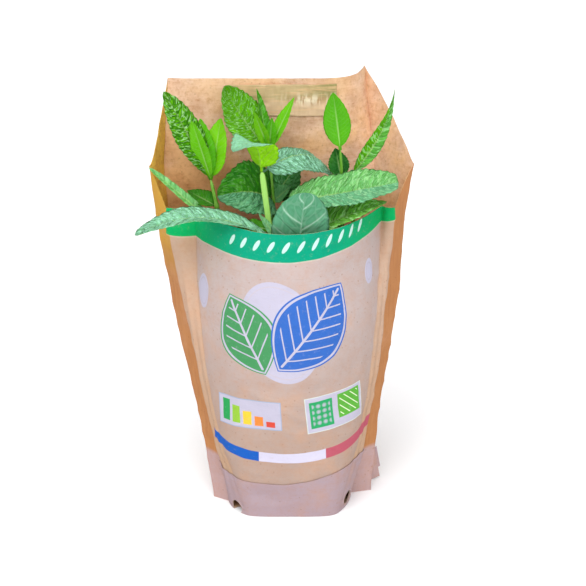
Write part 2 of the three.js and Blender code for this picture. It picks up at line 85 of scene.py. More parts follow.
# The stretches of half an outline, in order from the middle of the front, with the columns in each.
STRETCHES = {"front": 44, "side": 22, "front_gusset": 12, "rear_gusset": 18, "back": 32}
BASE_FOLD = 12 * MM  # the sheet isn't creased below this height
DENT = {"wide": 34 * MM, "tall": 50 * MM, "depth": 0.6 * MM}
FACET = {"wide": 21 * MM, "tall": 16 * MM, "depth": 1.25 * MM}
SMALL_FACET = {"wide": 9 * MM, "tall": 8 * MM, "depth": 0.4 * MM}
PLEAT = {"from": 40 * MM, "to": 170 * MM, "fade": 60 * MM, "depth": 0.7 * MM, "count": 2.2}
OVERLAP = {"from": 0.86, "stand": 0.5 * MM}  # the glued overlap up the back
CREASE_ANGLE = math.radians(38)  # faces that meet more sharply keep a hard edge


def through(knots, values, at):
    """A smooth curve that passes through the values at the knots."""
    last = len(knots) - 1
    low = [max(0, k - 1) for k in range(last + 1)]
    high = [min(last, k + 1) for k in range(last + 1)]
    columns = (-1,) + (1,) * (values.ndim - 1)
    slope = (values[high] - values[low]) / (knots[high] - knots[low]).reshape(columns)
    i = np.clip(np.searchsorted(knots, at) - 1, 0, last - 1)
    span = (knots[i + 1] - knots[i]).reshape(columns)
    t = (at - knots[i]).reshape(columns) / span
    bend = span * (t * (1 - t) ** 2 * slope[i] - t * t * (1 - t) * slope[i + 1])
    return values[i] + (values[i + 1] - values[i]) * t * t * (3 - 2 * t) + bend


def panel(middle, corner, a, crisp, sweep):
    """Half of a front or back panel, from its middle (0) round to its corner (1)."""
    across = np.sin(sweep * a) / np.sin(sweep)
    depth = ((1 - np.cos(sweep * a)) / (1 - np.cos(sweep))) ** crisp
    return middle + (corner - middle) * np.stack([across, depth], axis=-1)


def bag_place(side, stretch, a, height):
    """The bag's outer face, at share a of a stretch of half its outline."""
    folds = {name: through(LEVELS, np.array(line) * MM, height) for name, line in FOLDS[side].items()}
    if stretch in PANELS:
        form = PANELS[stretch]
        middle = through(LEVELS, np.array(form["middle"]) * MM, height)
        crisp, sweep = [through(LEVELS, np.array(form[key], float), height) for key in ("crisp", "sweep")]
        share = a if stretch == "front" else 1 - a
        return panel(middle, folds[form["corner"]], share, crisp, np.radians(sweep))
    if stretch == "front_gusset":
        return folds["edge"] * (1 - a) + folds["gusset"] * a
    if stretch == "rear_gusset":
        return folds["gusset"] * (1 - a) + folds["back"] * a
    run = folds["edge"] - folds["corner"]
    bow = SIDE_BOW * 4 * a * (1 - a) * (1 if side == "right" else -1)
    turned = np.stack([run[..., 1], -run[..., 0]], axis=-1)
    return folds["corner"] + run * a + bow * turned / np.linalg.norm(run, axis=-1, keepdims=True)


def bag_top(side, stretch, a):
    """How high the sheet reaches there: low in front, slanting up each gusset, and tall behind."""
    corner = BAG_HEIGHT + (CORNER_RISE if side == "right" else 0)
    if stretch == "front_gusset":
        return RIM_HEIGHT + (GUSSET_HEIGHT - RIM_HEIGHT) * a
    if stretch == "rear_gusset":
        return GUSSET_HEIGHT + (corner - GUSSET_HEIGHT) * a ** CUT_POWER[side]
    if stretch == "back":
        return corner + (BAG_HEIGHT - corner) * min(1, 3 * a)
    return RIM_HEIGHT


def outward(ring):
    """The way out at each point of a closed ring, and how much further a sharp fold has to step."""
    before = ring - np.roll(ring, 1, axis=-2)
    after = np.roll(ring, -1, axis=-2) - ring
    sides = [np.stack([leg[..., 1], -leg[..., 0]], axis=-1) for leg in (before, after)]
    sides = [leg / np.maximum(np.linalg.norm(leg, axis=-1, keepdims=True), 1e-9) for leg in sides]
    both = sides[0] + sides[1]
    both /= np.maximum(np.linalg.norm(both, axis=-1, keepdims=True), 1e-9)
    return both, 1 / np.maximum(0.4, (both * sides[0]).sum(axis=-1, keepdims=True))


def crumple(across, height):
    """How far the sheet stands out or dips where it has been squeezed: broad dents and sharp-edged facets."""

    def rough(size, aside, up, layer):
        return noise.noise(Vector((across / size["wide"] + aside, height / size["tall"] + up, layer)))

    dents = rough(DENT, 0, 0, 3.1)
    facets, small = abs(rough(FACET, 7, 0.4 * dents, 8.4)), abs(rough(SMALL_FACET, 0, dents, 1.7))
    return DENT["depth"] * dents - FACET["depth"] * facets - SMALL_FACET["depth"] * small


half_bag = [(stretch, i / steps) for stretch, steps in STRETCHES.items() for i in range(steps)]
columns = [("right", *place) for place in half_bag] + [("right", "back", 1)]
back_column = len(half_bag)
columns += [("left", *place) for place in reversed(half_bag[1:])]
shares = np.linspace(0, 1, BAG_ROWS)
heights = np.array([bag_top(*place) for place in columns])[None, :] * shares[:, None]
ring = np.stack([bag_place(*place, heights[:, i]) for i, place in enumerate(columns)], axis=1)
steps = np.linalg.norm(np.roll(ring, -1, axis=1) - ring, axis=-1)
right_way = np.concatenate([np.zeros((BAG_ROWS, 1)), np.cumsum(steps, axis=1)[:, :back_column]], axis=1)
left_way = np.cumsum(steps[:, ::-1], axis=1)[:, ::-1][:, back_column + 1 :]
across = np.concatenate([right_way, -left_way], axis=1)

press = np.array([[crumple(u, z) for u, z in zip(*row)] for row in zip(across, heights)])
press *= np.clip(heights / BASE_FOLD, 0, 1)
for i, (side, stretch, a) in enumerate(columns):
    if stretch == "side":  # soft upright pleats beside the printed panel, pulled flat towards the rim
        reach = np.clip(heights[:, i] / PLEAT["from"], 0, 1)
        reach = reach * np.clip((PLEAT["to"] - heights[:, i]) / PLEAT["fade"], 0, 1) * math.sin(math.pi * a)
        press[:, i] += PLEAT["depth"] * reach * math.sin(2 * math.pi * (PLEAT["count"] * a + 0.1))
    if stretch == "back" and side == "right" and a > OVERLAP["from"]:
        press[:, i] += OVERLAP["stand"]
way, reach = outward(ring)
ring = ring + way * press[..., None]
way, reach = outward(ring)
outer = np.concatenate([ring, heights[..., None]], axis=-1)
inner = np.concatenate([ring - way * reach * SHEET, np.maximum(SHEET, heights)[..., None]], axis=-1)


def mesh_of(name, points, faces, **stored):
    """A smooth mesh, with the named values kept on its points."""
    mesh = bpy.data.meshes.new(name)
    mesh.from_pydata([tuple(p) for p in points], [], [tuple(int(i) for i in f) for f in faces])
    for key, values in stored.items():
        made = mesh.attributes.new(key, "FLOAT_VECTOR", "POINT")
        made.data.foreach_set("vector", np.asarray(values, np.float32).ravel())
    mesh.shade_smooth()
    return mesh


def placed(name, mesh):
    thing = bpy.data.objects.new(name, mesh)
    bpy.context.scene.collection.objects.link(thing)
    return thing


def evaluated(thing):
    """The object's mesh as its modifiers leave it, without the object."""
    graph = bpy.context.evaluated_depsgraph_get()
    mesh = bpy.data.meshes.new_from_object(thing.evaluated_get(graph))
    bpy.data.objects.remove(thing)
    return mesh


def piece_of(name, mesh, node, slot, *finishes):
    """Puts a finished mesh in the scene as a piece that stands for a node of the frame."""
    piece = placed(name, mesh)
    if finishes:
        mesh.materials.clear()
    for finish in finishes:
        mesh.materials.append(finish)
    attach(piece, "root")
    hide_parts(node)
    return piece


def skin_faces(rows, around, closed):
    """The faces of a thin solid between two like grids of points, its rims closed."""
    faces = []
    back = rows * around
    for j in range(rows - 1):
        for i in range(around if closed else around - 1):
            a, b = j * around + i, j * around + (i + 1) % around
            faces.append((a, b, b + around, a + around))
            faces.append((back + a + around, back + b + around, back + b, back + a))
    top = (rows - 1) * around
    rims = [(top + i, top + (i + 1) % around) for i in range(around if closed else around - 1)]
    if not closed:
        rims += [(i + 1, i) for i in range(around - 1)]
        rims += [(j, j + around) for j in range(0, top, around)]
        rims += [(j + around, j) for j in range(around - 1, top, around)]
    return faces + [(a, b, back + b, back + a) for a, b in rims]


FLOOR_SHARES = (0.03, 0.3, 0.6, 0.88)  # rings of the flat base, as shares of its outline
floors = [outer[:1] * share * np.array([1, 1, 0]) for share in FLOOR_SHARES]
raised = [floor + np.array([0, 0, SHEET]) for floor in floors]
front_grid, back_grid = np.concatenate([*floors, outer]), np.concatenate([*raised, inner])
rows, around = front_grid.shape[:2]
inside = rows * around
points = [*front_grid.reshape(-1, 3), *back_grid.reshape(-1, 3), (0, 0, 0), (0, 0, SHEET)]
faces = skin_faces(rows, around, True)
for i in range(around):
    j = (i + 1) % around
    faces += [(j, i, 2 * inside), (inside + i, inside + j, 2 * inside + 1)]

# Each point keeps its place on the flat sheet, and whether it belongs to a fin or to a pleated side.
flat = np.stack([across, heights], axis=-1)
flat = np.concatenate([np.repeat(flat[:1], len(FLOOR_SHARES), axis=0), flat]).reshape(-1, 2)
unprinted = np.tile([-1.0 if stretch in ("back", "rear_gusset") else 0.0 for _, stretch, _ in columns], rows)
layers = np.concatenate([unprinted, np.ones(inside), [-1, 1]])
flat = np.column_stack([np.concatenate([flat, flat, [[0, 0], [0, 0]]]), layers])
kinds = np.array([[stretch.endswith("gusset"), stretch == "side", 0] for _, stretch, _ in columns], float)
kinds = np.concatenate([np.tile(kinds, (2 * rows, 1)), [[0, 0, 0], [0, 0, 0]]])
whole_bag = placed("whole_bag", mesh_of("kraft_bag", points, faces, sheet=flat, part=kinds))

# Two round vents are punched through the lower front corners.
VENT = {"radius": 4.5 * MM, "share": 0.3, "height": {"right": 6.8 * MM, "left": 3 * MM}}


def cutter(radius, depth, segments, at, way=None):
    """A round bar to cut a hole with, upright or along the way given."""
    bar = bmesh.new()
    bmesh.ops.create_cone(bar, cap_ends=True, segments=segments, radius1=radius, radius2=radius, depth=depth)
    if way:
        bmesh.ops.rotate(bar, matrix=Vector(way).to_track_quat("Z", "Y").to_matrix(), verts=bar.verts)
    bmesh.ops.translate(bar, vec=at, verts=bar.verts)
    mesh = bpy.data.meshes.new("cutter")
    bar.to_mesh(mesh)
    bar.free()
    return placed("cutter", mesh)


def cut_through(thing, cutters, crease=CREASE_ANGLE):
    """The thing's mesh with a hole through it for each cutter."""
    for bar in cutters:
        hole = thing.modifiers.new("hole", "BOOLEAN")
        hole.operation, hole.object, hole.solver = "DIFFERENCE", bar, "MANIFOLD"
    mesh = evaluated(thing)
    mesh.set_sharp_from_angle(angle=crease)
    return mesh


vents = []
for side, height in VENT["height"].items():
    here, there = [bag_place(side, "side", VENT["share"] + s, np.array([height]))[0] for s in (0, 0.2)]
    way = (here[1] - there[1], there[0] - here[0], 0)
    vents.append(cutter(VENT["radius"], 9 * MM, 40, (*here, height), way))


def signed(operation):
    """The methods for a sign with the wire on its left and on its right."""
    return (
        lambda wire, other: wire.sum(operation, wire, other),
        lambda wire, other: wire.sum(operation, other, wire),
    )


class Wire:
    """A socket in a node tree. A sum on it puts in a Math node, or a Vector Math node for a vector."""

    def __init__(self, tree, socket=None):
        self.tree, self.socket = tree, socket

    def node(self, kind, inputs=None, output=0, **settings):
        """Puts in any other node: its type, the values or wires for its sockets, and its settings."""
        made = self.tree.nodes.new(kind)
        for name, value in settings.items():
            setattr(made, name, value)
        for name, value in (inputs or {}).items():
            socket = made.inputs[name]
            if isinstance(value, (Wire, list)):
                for wire in value if isinstance(value, list) else [value]:
                    self.tree.links.new(wire.socket, socket)
            elif socket.type == "VECTOR" and isinstance(value, (int, float)):
                socket.default_value = (value,) * 3
            elif socket.type == "RGBA":
                socket.default_value = (*screen_colour(value), 1)
            else:
                socket.default_value = value
        return Wire(self.tree, made.outputs[output] if made.outputs else None)

    def sum(self, operation, *values, output=0):
        vector = any(isinstance(v, Wire) and v.socket.type == "VECTOR" for v in values)
        kind = "ShaderNodeVectorMath" if vector else "ShaderNodeMath"
        return self.node(kind, dict(enumerate(values)), output, operation=operation)

    __add__, __radd__ = signed("ADD")
    __sub__, __rsub__ = signed("SUBTRACT")
    __mul__, __rmul__ = signed("MULTIPLY")
    __truediv__, __rtruediv__ = signed("DIVIDE")
    __pow__, __rpow__ = signed("POWER")
    __mod__, __rmod__ = signed("FLOORED_MODULO")

    def __abs__(self):
        return self.sum("ABSOLUTE", self)

    def at_least(self, other):
        return self.sum("MAXIMUM", self, other)

    def at_most(self, other):
        return self.sum("MINIMUM", self, other)

    def rise(self, low, high):
        """0 up to low and 1 from high on, with a soft step between."""
        reach = {"Value": self, "From Min": low, "From Max": high}
        return self.node("ShaderNodeMapRange", reach, interpolation_type="SMOOTHSTEP")

    def near(self, width):
        """1 where the value is 0, fading to 0 at width on either side."""
        return 1 - abs(self).rise(0, width)

    def tint(self, below, above):
        """A colour mixed by this value, from below (0) to above (1)."""
        return self.node("ShaderNodeMix", {0: self, 6: below, 7: above}, 2, data_type="RGBA")

    def parts(self):
        made = self.node("ShaderNodeSeparateXYZ", {0: self}).socket.node
        return [Wire(self.tree, socket) for socket in made.outputs]

    def kept(self, name):
        """The three values that a mesh keeps on its points under this name."""
        return self.node("ShaderNodeAttribute", None, 1, attribute_name=name).parts()

    def noise(self, scale, detail=4, roughness=0.6):
        inputs = {"Vector": self, "Scale": scale, "Detail": detail, "Roughness": roughness}
        return self.node("ShaderNodeTexNoise", inputs)

    def stretched(self, *scale):
        return self.node("ShaderNodeMapping", {"Vector": self, "Scale": scale})


def screen_colour(levels):
    """A colour given as it looks on a screen, 0 to 255."""
    shares = [value / 255 for value in levels]
    return tuple(c / 12.92 if c <= 0.04045 else ((c + 0.055) / 1.055) ** 2.4 for c in shares)


def new_finish(name):
    """An empty material, as a wire to add its nodes with and a wire of the places on its object."""
    finish = bpy.data.materials.new(name)
    finish.use_nodes = True
    finish.node_tree.nodes.clear()
    wire = Wire(finish.node_tree)
    return finish, wire, wire.node("ShaderNodeTexCoord", output=3)


def surface(wire, colour, roughness, bump=None, strength=0.3, depth=MM, shine=0.5):
    """A Principled shader, its relief from a Bump node."""
    inputs = {"Base Color": colour, "Roughness": roughness, "Specular IOR Level": shine}
    if bump is not None:
        relief = {"Height": bump, "Strength": strength, "Distance": depth}
        inputs["Normal"] = wire.node("ShaderNodeBump", relief)
    return wire.node("ShaderNodeBsdfPrincipled", inputs)


def coated(finish, wire, shader, glow=None, share=0):
    """The material with its shader joined up. A share of it lets light glow through."""
    if glow:
        light = wire.node("ShaderNodeBsdfTranslucent", {"Color": glow})
        shader = wire.node("ShaderNodeMixShader", {0: share, 1: shader, 2: light})
    wire.node("ShaderNodeOutputMaterial", {"Surface": shader})
    return finish


def layered(colour, *coats):
    """The colour under a number of coats, each with its share and its own colour."""
    for share, tone in coats:
        colour = share.tint(colour, tone)
    return colour


# The print lies on the flat sheet, in millimetres: x across it from the middle of the front, y up it.
BAND = {"left": -98, "right": 90, "low": 176, "lift": 9.5}
DASHES = {"middle": 8, "half": 48, "pitch": 9, "lean": 0.55, "up": 9, "size": (1.5, 3.4)}
STRIPE = {"low": 46, "middle": -5, "lift": 0.0027, "half": 3.5}
STRIPE_ENDS = {"left": -56, "blue": -19, "red": 23, "right": 66}
LEAF_MARKS = [  # place, heading, half length and half width, and ink
    ((-26, 129), 118, 25, 17, (68, 140, 88)),
    ((14, 134), 52, 31, 21, (52, 100, 180)),
]
OVALS = [((-64, 147), 6, 10.5), ((60, 160), 4.5, 7.5)]
CHART = {"at": (-26, 76), "half": (21, 9.5), "tilt": 2, "rim": 0.6, "rim_ink": (150, 165, 190)}
CHART_BARS = [(40, 150, 80), (140, 185, 60), (225, 190, 60), (225, 130, 60), (205, 75, 60)]
LABEL = {"at": (31, 78), "half": (20, 12), "tilt": 5, "rim": 0.5, "rim_ink": (200, 210, 205)}
WHITE_INK = (182, 178, 196)
INK_EDGE = 0.15  # how softly a printed edge ends


def print_on(wire, x, y, ground, ink, outside):
    """Paints the printed band, marks, panels and stripe over the bare paper's colour."""
    x, y, ink = x / MM, y / MM, outside * ink

    def local(at, degrees):
        turn = math.radians(degrees)
        dx, dy = x - at[0], y - at[1]
        return dx * math.cos(turn) + dy * math.sin(turn), dy * math.cos(turn) - dx * math.sin(turn)

    def paint(share, colour):
        nonlocal ground
        ground = share.tint(ground, colour)

    def inked(distance, colour):
        paint(distance.rise(-INK_EDGE, INK_EDGE) * ink, colour)

    def boxed(at, half, degrees):
        p, q = local(at, degrees)
        return (half[0] - abs(p)).at_most(half[1] - abs(q))

    def rounded(at, wide, tall, degrees=0):
        p, q = local(at, degrees)
        return 1 - ((p / wide) ** 2 + (q / tall) ** 2)

    def across(ends):
        return x.rise(ends["left"], ends["left"] + 0.4) * (1 - x.rise(ends["right"] - 0.4, ends["right"]))

    above = y - (BAND["low"] + BAND["lift"] * (x.at_least(0) / BAND["right"]) ** 1.3)
    paint(above.near(1.1) * across(BAND) * outside * 0.3, (222, 226, 196))
    green = abs(x + 5).rise(20, 85).tint((0, 150, 116), (0, 166, 92))
    paint(above.rise(-INK_EDGE, INK_EDGE) * across(BAND) * ink, green)
    lane = ((x + 2) / DASHES["pitch"] + 0.5) % 1 - 0.5
    high = above - DASHES["up"]
    lean = lane * DASHES["pitch"] - high * DASHES["lean"]
    dash = (lean / DASHES["size"][0]) ** 2 + (high / DASHES["size"][1]) ** 2
    run = 1 - abs(x - DASHES["middle"]).rise(DASHES["half"], DASHES["half"] + 1)
    dash = (1 - dash.rise(0.8, 1.2)) * run
    paint(dash * ink, (188, 220, 212))

    cloud = rounded((-5, 132), 24, 33, 20) * 14
    inked(cloud, WHITE_INK)
    paint((cloud - 2.4).near(0.5) * outside * 0.5, (190, 176, 176))
    for at, heading, half_length, half_width, colour in LEAF_MARKS:
        p, q = local(at, heading)
        lens = half_width * (1 - (p / half_length) ** 2) - abs(q)
        rib = (0.75 - abs(q)).at_most(lens - 2)
        vein = abs(((p - abs(q) * 0.9) / 8) % 1 - 0.5) * 8 - 3.45
        for layer, distance in enumerate((lens + 2.6, lens + 1.5, lens, rib, vein.at_most(lens - 3))):
            inked(distance, colour if layer in (0, 2) else WHITE_INK)
    for at, wide, tall in OVALS:
        oval = rounded(at, wide, tall) * wide / 2
        inked(oval, WHITE_INK)
        paint((oval - 1.2).near(0.35) * outside * 0.6, (170, 160, 175))
    for sign in (CHART, LABEL):
        box = boxed(sign["at"], sign["half"], sign["tilt"])
        inked(box + sign["rim"], sign["rim_ink"])
        inked(box, WHITE_INK)
    for k, colour in enumerate(CHART_BARS):
        tall = 7.2 - 1.3 * k
        at = (CHART["at"][0] - 15.5 + 7.6 * k, CHART["at"][1] - 7.6 + tall)
        inked(boxed(at, (2.8, tall), CHART["tilt"]), colour)
    left_at, right_at = [(LABEL["at"][0] + dx, LABEL["at"][1] + dy) for dx, dy in ((-10.2, -1), (9.6, 2.6))]
    p, q = local(left_at, LABEL["tilt"])
    left, right = boxed(left_at, (7.6, 9.4), LABEL["tilt"]), boxed(right_at, (8.6, 8.4), LABEL["tilt"])
    inked(left, (40, 155, 95))
    dots = ((p / 4) % 1 - 0.5) ** 2 + ((q / 4) % 1 - 0.5) ** 2
    inked((0.09 - dots).at_most(left - 1.6), WHITE_INK)
    inked(right, (90, 165, 60))
    slant = abs(((p + q) / 5) % 1 - 0.5) * 5
    inked((slant - 2.1).at_most(right - 1.4), (225, 235, 200))

    off = x - STRIPE["middle"]
    run = (x - STRIPE_ENDS["left"]).at_most(STRIPE_ENDS["right"] - x)
    stripe = (STRIPE["half"] - abs(y - (STRIPE["low"] + STRIPE["lift"] * off * off))).at_most(run)
    tone = x.rise(STRIPE_ENDS["blue"], STRIPE_ENDS["blue"] + 0.3).tint((24, 88, 176), (200, 196, 216))
    tone = x.rise(STRIPE_ENDS["red"], STRIPE_ENDS["red"] + 0.3).tint(tone, (176, 84, 100))
    inked(stripe, tone)
    return ground


def kraft_finish():
    """Warm, flecked, slightly see-through brown paper, orange on the fins, with a painted ochre glow of light
    through the left fins, and mauve on the doubled base.
    """
    finish, wire, spot = new_finish("kraft paper")
    x, y, layer = wire.kept("sheet")
    fin, pleat, flap = wire.kept("part")
    within, printed = layer.rise(0.4, 0.6), layer.rise(-0.6, -0.4) * (1 - flap)
    outside = 1 - within
    mottle, blotch, pulp = spot.noise(24, 5, 0.6), spot.noise(95, 5, 0.65), spot.noise(420, 4, 0.7)
    fibre = spot.stretched(80, 80, 800).noise(1, 4, 0.65)
    upright = spot.stretched(500, 500, 40).noise(1, 3)
    flecks = wire.node("ShaderNodeTexVoronoi", {"Vector": spot, "Scale": 230})
    front = y.rise(50 * MM, 150 * MM).tint((170, 148, 136), (180, 165, 162))
    front = printed.tint((188, 154, 122), front)
    rose = mottle.rise(0.38, 0.62).tint((244, 194, 138), (250, 216, 190))
    rose = (y.rise(190 * MM, 262 * MM) * 0.5).tint(rose, (240, 212, 182))
    # painted glow: bright ochre standing in for light shining through the left fins, inside and on their
    # upper outside
    painted_glow = within.tint((190, 146, 58), (255, 212, 100))
    bare = (within + y.rise(140 * MM, 185 * MM)).at_most(1)
    low = 1 - (y + mottle * 6 * MM).rise(33 * MM, 37 * MM)
    shade = blotch.rise(0.35, 0.72) * 0.45 + fibre.rise(0.5, 0.75) * 0.22 + pulp.rise(0.45, 0.75) * 0.4
    ground = layered(
        within.tint(front, rose),
        (fin * outside, upright.rise(0.3, 0.8).tint((181, 126, 80), (168, 113, 72))),
        (fin * x.rise(0, -10 * MM) * bare, painted_glow),
        (pleat * outside * 0.6, (190, 154, 120)),
        ((flap + low * fin * 0.7).at_most(1), (178, 160, 168)),
        (mottle.rise(0.5, 0.75) * 0.3, (216, 172, 140)),
        (shade * (0.35 + within * 0.6), (178, 118, 70)),
        (flecks.rise(0.16, 0.05) * 0.35, (126, 86, 54)),
    )
    ink = 1 - pulp.rise(0.55, 0.8) * 0.3
    ground = print_on(wire, x, y, ground, ink, outside * printed)
    grain = pulp * 0.35 + fibre * 0.5 + blotch * 0.9 + mottle * 1.4
    paper = surface(wire, ground, 0.82, grain, 0.5, 0.8 * MM, shine=0.12)
    return coated(finish, wire, paper, glow=(236, 170, 96), share=0.22 - printed * outside * 0.18)


kraft = kraft_finish()
piece_of("kraft_bag", cut_through(whole_bag, vents), "paper_bag", "kraft_paper", kraft)


# ---- Flap and loose corner ----------------------------------------------------------------------------
# The bag's base is closed by folding its lower edge up over the front, where it is glued as a second layer.
# The right gusset's lower corner has come out of that fold and stands away as a three-cornered ear, with
# the tip of the layer under it showing behind.

FLAP = {"rows": 26, "stand": 0.35 * MM, "thick": 0.25 * MM}
FLAP_EDGE = [(-62, 30), (-42, 27), (-19, 26.5), (-3, 25.5), (12, 28.5), (27, 33.5), (44, 36), (64, 38)]
FLAP_ROW = 12  # the row of the bag that measures places along the flap


def thin_sheet(name, grid, thick, **stored):
    """A closed thin solid behind a grid of points, whose rows run upwards and columns to the right."""
    out = np.cross(np.gradient(grid, axis=1), np.gradient(grid, axis=0))
    out /= np.maximum(np.linalg.norm(out, axis=-1, keepdims=True), 1e-12)
    points = np.concatenate([grid.reshape(-1, 3), (grid - out * thick).reshape(-1, 3)])
    stored = {key: np.tile(np.reshape(values, (-1, 3)), (2, 1)) for key, values in stored.items()}
    return placed(name, mesh_of(name, points, skin_faces(*grid.shape[:2], False), **stored))


front_columns = [i for i, (_, stretch, _) in enumerate(columns) if stretch in ("front", "side")]
front_columns.sort(key=lambda i: across[FLAP_ROW, i])
way, _ = outward(ring)
flap_places, flap_sheet = [], []
for i in front_columns:
    top = np.interp(across[FLAP_ROW, i], *(np.transpose(FLAP_EDGE) * MM))
    at = np.linspace(0.2 * MM, top, FLAP["rows"])
    lift = FLAP["stand"] * (1 + 0.8 * (at / top) ** 6)
    (x, y), out = [[np.interp(at, heights[:, i], line[:, i, k]) for k in (0, 1)] for line in (ring, way)]
    x, y = x + lift * out[0], y + lift * out[1]
    flap_places.append(np.stack([x, y, at], axis=-1))
    flap_sheet.append(np.stack([np.interp(at, heights[:, i], across[:, i]), at, 0 * at], axis=-1))
flap_grid, flap_sheet = np.stack(flap_places, axis=1), np.stack(flap_sheet, axis=1)
flap_part = np.broadcast_to([0, 0, 1], flap_grid.shape)
flap = thin_sheet("flap", flap_grid, FLAP["thick"], sheet=flap_sheet, part=flap_part)
piece_of("base_flap", cut_through(flap, vents), "paper_bag", "kraft_paper", kraft)
for bar in vents:
    bpy.data.objects.remove(bar)

# Corners of the ear and of the tip behind it: lower left, lower right, upper right, upper left.
LOOSE = {
    "gusset_ear": [(45, 1.5, 1.5), (57.2, 11.6, 1.5), (52.8, 8.2, 27), (45.6, 2, 27)],
    "under_layer_tip": [(53, 9.5, 7), (57.4, 12.6, 8.5), (54.6, 10.6, 24), (51.5, 8.6, 22)],
}
for name, corners in LOOSE.items():
    low_left, low_right, high_right, high_left = np.array(corners) * MM
    s, t = np.meshgrid(np.linspace(0, 1, 20), np.linspace(0, 1, 26))
    s, t = s[..., None], t[..., None]
    grid = (low_left * (1 - s) + low_right * s) * (1 - t) + (high_left * (1 - s) + high_right * s) * t
    fold = 0.25 + 0.6 * t  # slants from the lower left to the upper right
    dent = 0.9 * MM * np.maximum(0, 0.35 - np.abs(s - fold)) / 0.35
    grid = grid + np.array([0.6, -0.8, 0]) * dent * np.sin(np.pi * t)
    inward = np.concatenate([0 * s, 0 * s, (s < fold) * 1.0], axis=-1)
    inward[..., 0] = 1 - inward[..., 2]
    if name == "under_layer_tip":
        inward[:] = (0, 0, 1)
    place = np.concatenate([grid[..., :1], grid[..., 2:], 0 * s], axis=-1) + np.array([0.3, 0, 0])
    mesh = evaluated(thin_sheet(name, grid, SHEET, sheet=place, part=inward))
    mesh.set_sharp_from_angle(angle=CREASE_ANGLE)
    piece_of(name, mesh, "paper_bag", "kraft_paper", kraft)


# ---- Film strip ---------------------------------------------------------------------------------------
# A strip of cloudy film stuck across the top of the back panel's inner face. It has shrunk into fine
# crinkles, and the brown paper shows through it.

FILM = {
    "left": -41 * MM, "right": 27 * MM, "low": 242 * MM, "high": 262 * MM, "step": 0.5 * MM,
    "stand": 0.9 * MM, "thick": 0.15 * MM, "crinkle": 0.35 * MM, "wrinkle": 0.3 * MM,
}

back_columns = [i for i, (_, stretch, _) in enumerate(columns) if stretch == "back"]
film_rows = []
for z in np.arange(FILM["low"], FILM["high"], FILM["step"]):
    at = np.array([[np.interp(z, heights[:, i], inner[:, i, k]) for k in (0, 1)] for i in back_columns])
    at = at[np.argsort(at[:, 0])]
    x = np.arange(FILM["left"], FILM["right"], FILM["step"])
    crinkle = [noise.noise(Vector((u / 0.0022, z / 0.009, 4))) for u in x]
    wrinkle = [abs(noise.noise(Vector((u / 0.012, z / 0.002, 9)))) for u in x]
    y = np.interp(x, at[:, 0], at[:, 1]) - FILM["stand"]
    y = y + FILM["crinkle"] * np.array(crinkle) - FILM["wrinkle"] * np.array(wrinkle)
    film_rows.append(np.stack([x, y, np.full_like(x, z)], axis=-1))
film_mesh = evaluated(thin_sheet("film", np.stack(film_rows), FILM["thick"]))


def film_finish():
    finish, wire, spot = new_finish("cloudy film")
    x, _, z = spot.parts()
    cloud, streak = spot.noise(60, 5, 0.6), spot.stretched(420, 420, 70).noise(1, 4)
    hazy = (z + cloud * 5 * MM).rise(252 * MM, 256 * MM).tint((206, 174, 140), (184, 160, 116))
    hazy = ((x - 2 * MM).rise(0, 22 * MM) * z.rise(252 * MM, 256 * MM)).tint(hazy, (150, 140, 84))
    colour = (spot.stretched(60, 60, 600).noise(1, 4).rise(0.45, 0.7) * 0.6).tint(hazy, (222, 180, 136))
    crinkled = (z - 252.5 * MM).near(6 * MM) * (x + 8 * MM).rise(-10 * MM, 14 * MM) * streak.rise(0.42, 0.6)
    burnt = (x - 8 * MM).near(20 * MM) * (z - 252 * MM).near(4 * MM)
    burnt = burnt * streak.rise(0.55, 0.45) * cloud.rise(0.4, 0.6)
    colour = layered(colour, (crinkled * 0.7, (232, 216, 190)), (burnt * 0.8, (150, 96, 46)))
    return coated(finish, wire, surface(wire, colour, 0.32 + cloud * 0.3, streak + cloud, 0.5, 0.5 * MM))


piece_of("shrunk_film", film_mesh, "film_strip", "cloudy_film", film_finish())


# ---- Nursery pot --------------------------------------------------------------------------------------
# A thin round pot, thermoformed from taupe plastic, with a rolled rim, stacking steps in its wall and six
# drain holes in its base. It stands inside the bag, and only its rim and upper wall can be seen from above.

POT = {
    "x": -2.5 * MM, "floor": 1.1 * MM, "top": 92.1 * MM,
    "foot": 35.5 * MM, "mouth": 50.3 * MM, "wall": 1 * MM,
}
RIM_PROFILE = [(0, -5), (2, -4.8), (2.4, -4), (2.1, -1.2), (1.4, -0.3), (0.4, 0), (-0.6, -0.2), (-1, -1)]
POT_SEGMENTS = 96
STACKING = {"low": 12 * MM, "high": 80 * MM, "steps": 18, "depth": 0.4 * MM}
DRAIN = {"count": 6, "radius": 4 * MM, "ring": 23 * MM}


def turned(profile, segments, x=0):
    """A closed round shape from (radius, height) pairs that run up its outside and down its inside."""
    points, rings = [], []
    for r, z in profile:
        count = segments if r else 1
        rings.append([len(points) + k % count for k in range(segments)])
        for turn in np.arange(count) * 2 * math.pi / segments:
            points.append((x + r * math.cos(turn), r * math.sin(turn), z))
    faces = []
    for low, high in zip(rings, rings[1:]):
        for k in range(segments):
            corners = (low[k - 1], low[k], high[k], high[k - 1])
            faces.append(list(dict.fromkeys(corners)))
    mesh = bpy.data.meshes.new("turned")
    mesh.from_pydata(points, [], faces)
    mesh.shade_smooth()
    return mesh


def pot_radius(z):
    return POT["foot"] + (POT["mouth"] - POT["foot"]) * (z - POT["floor"]) / (POT["top"] - POT["floor"])


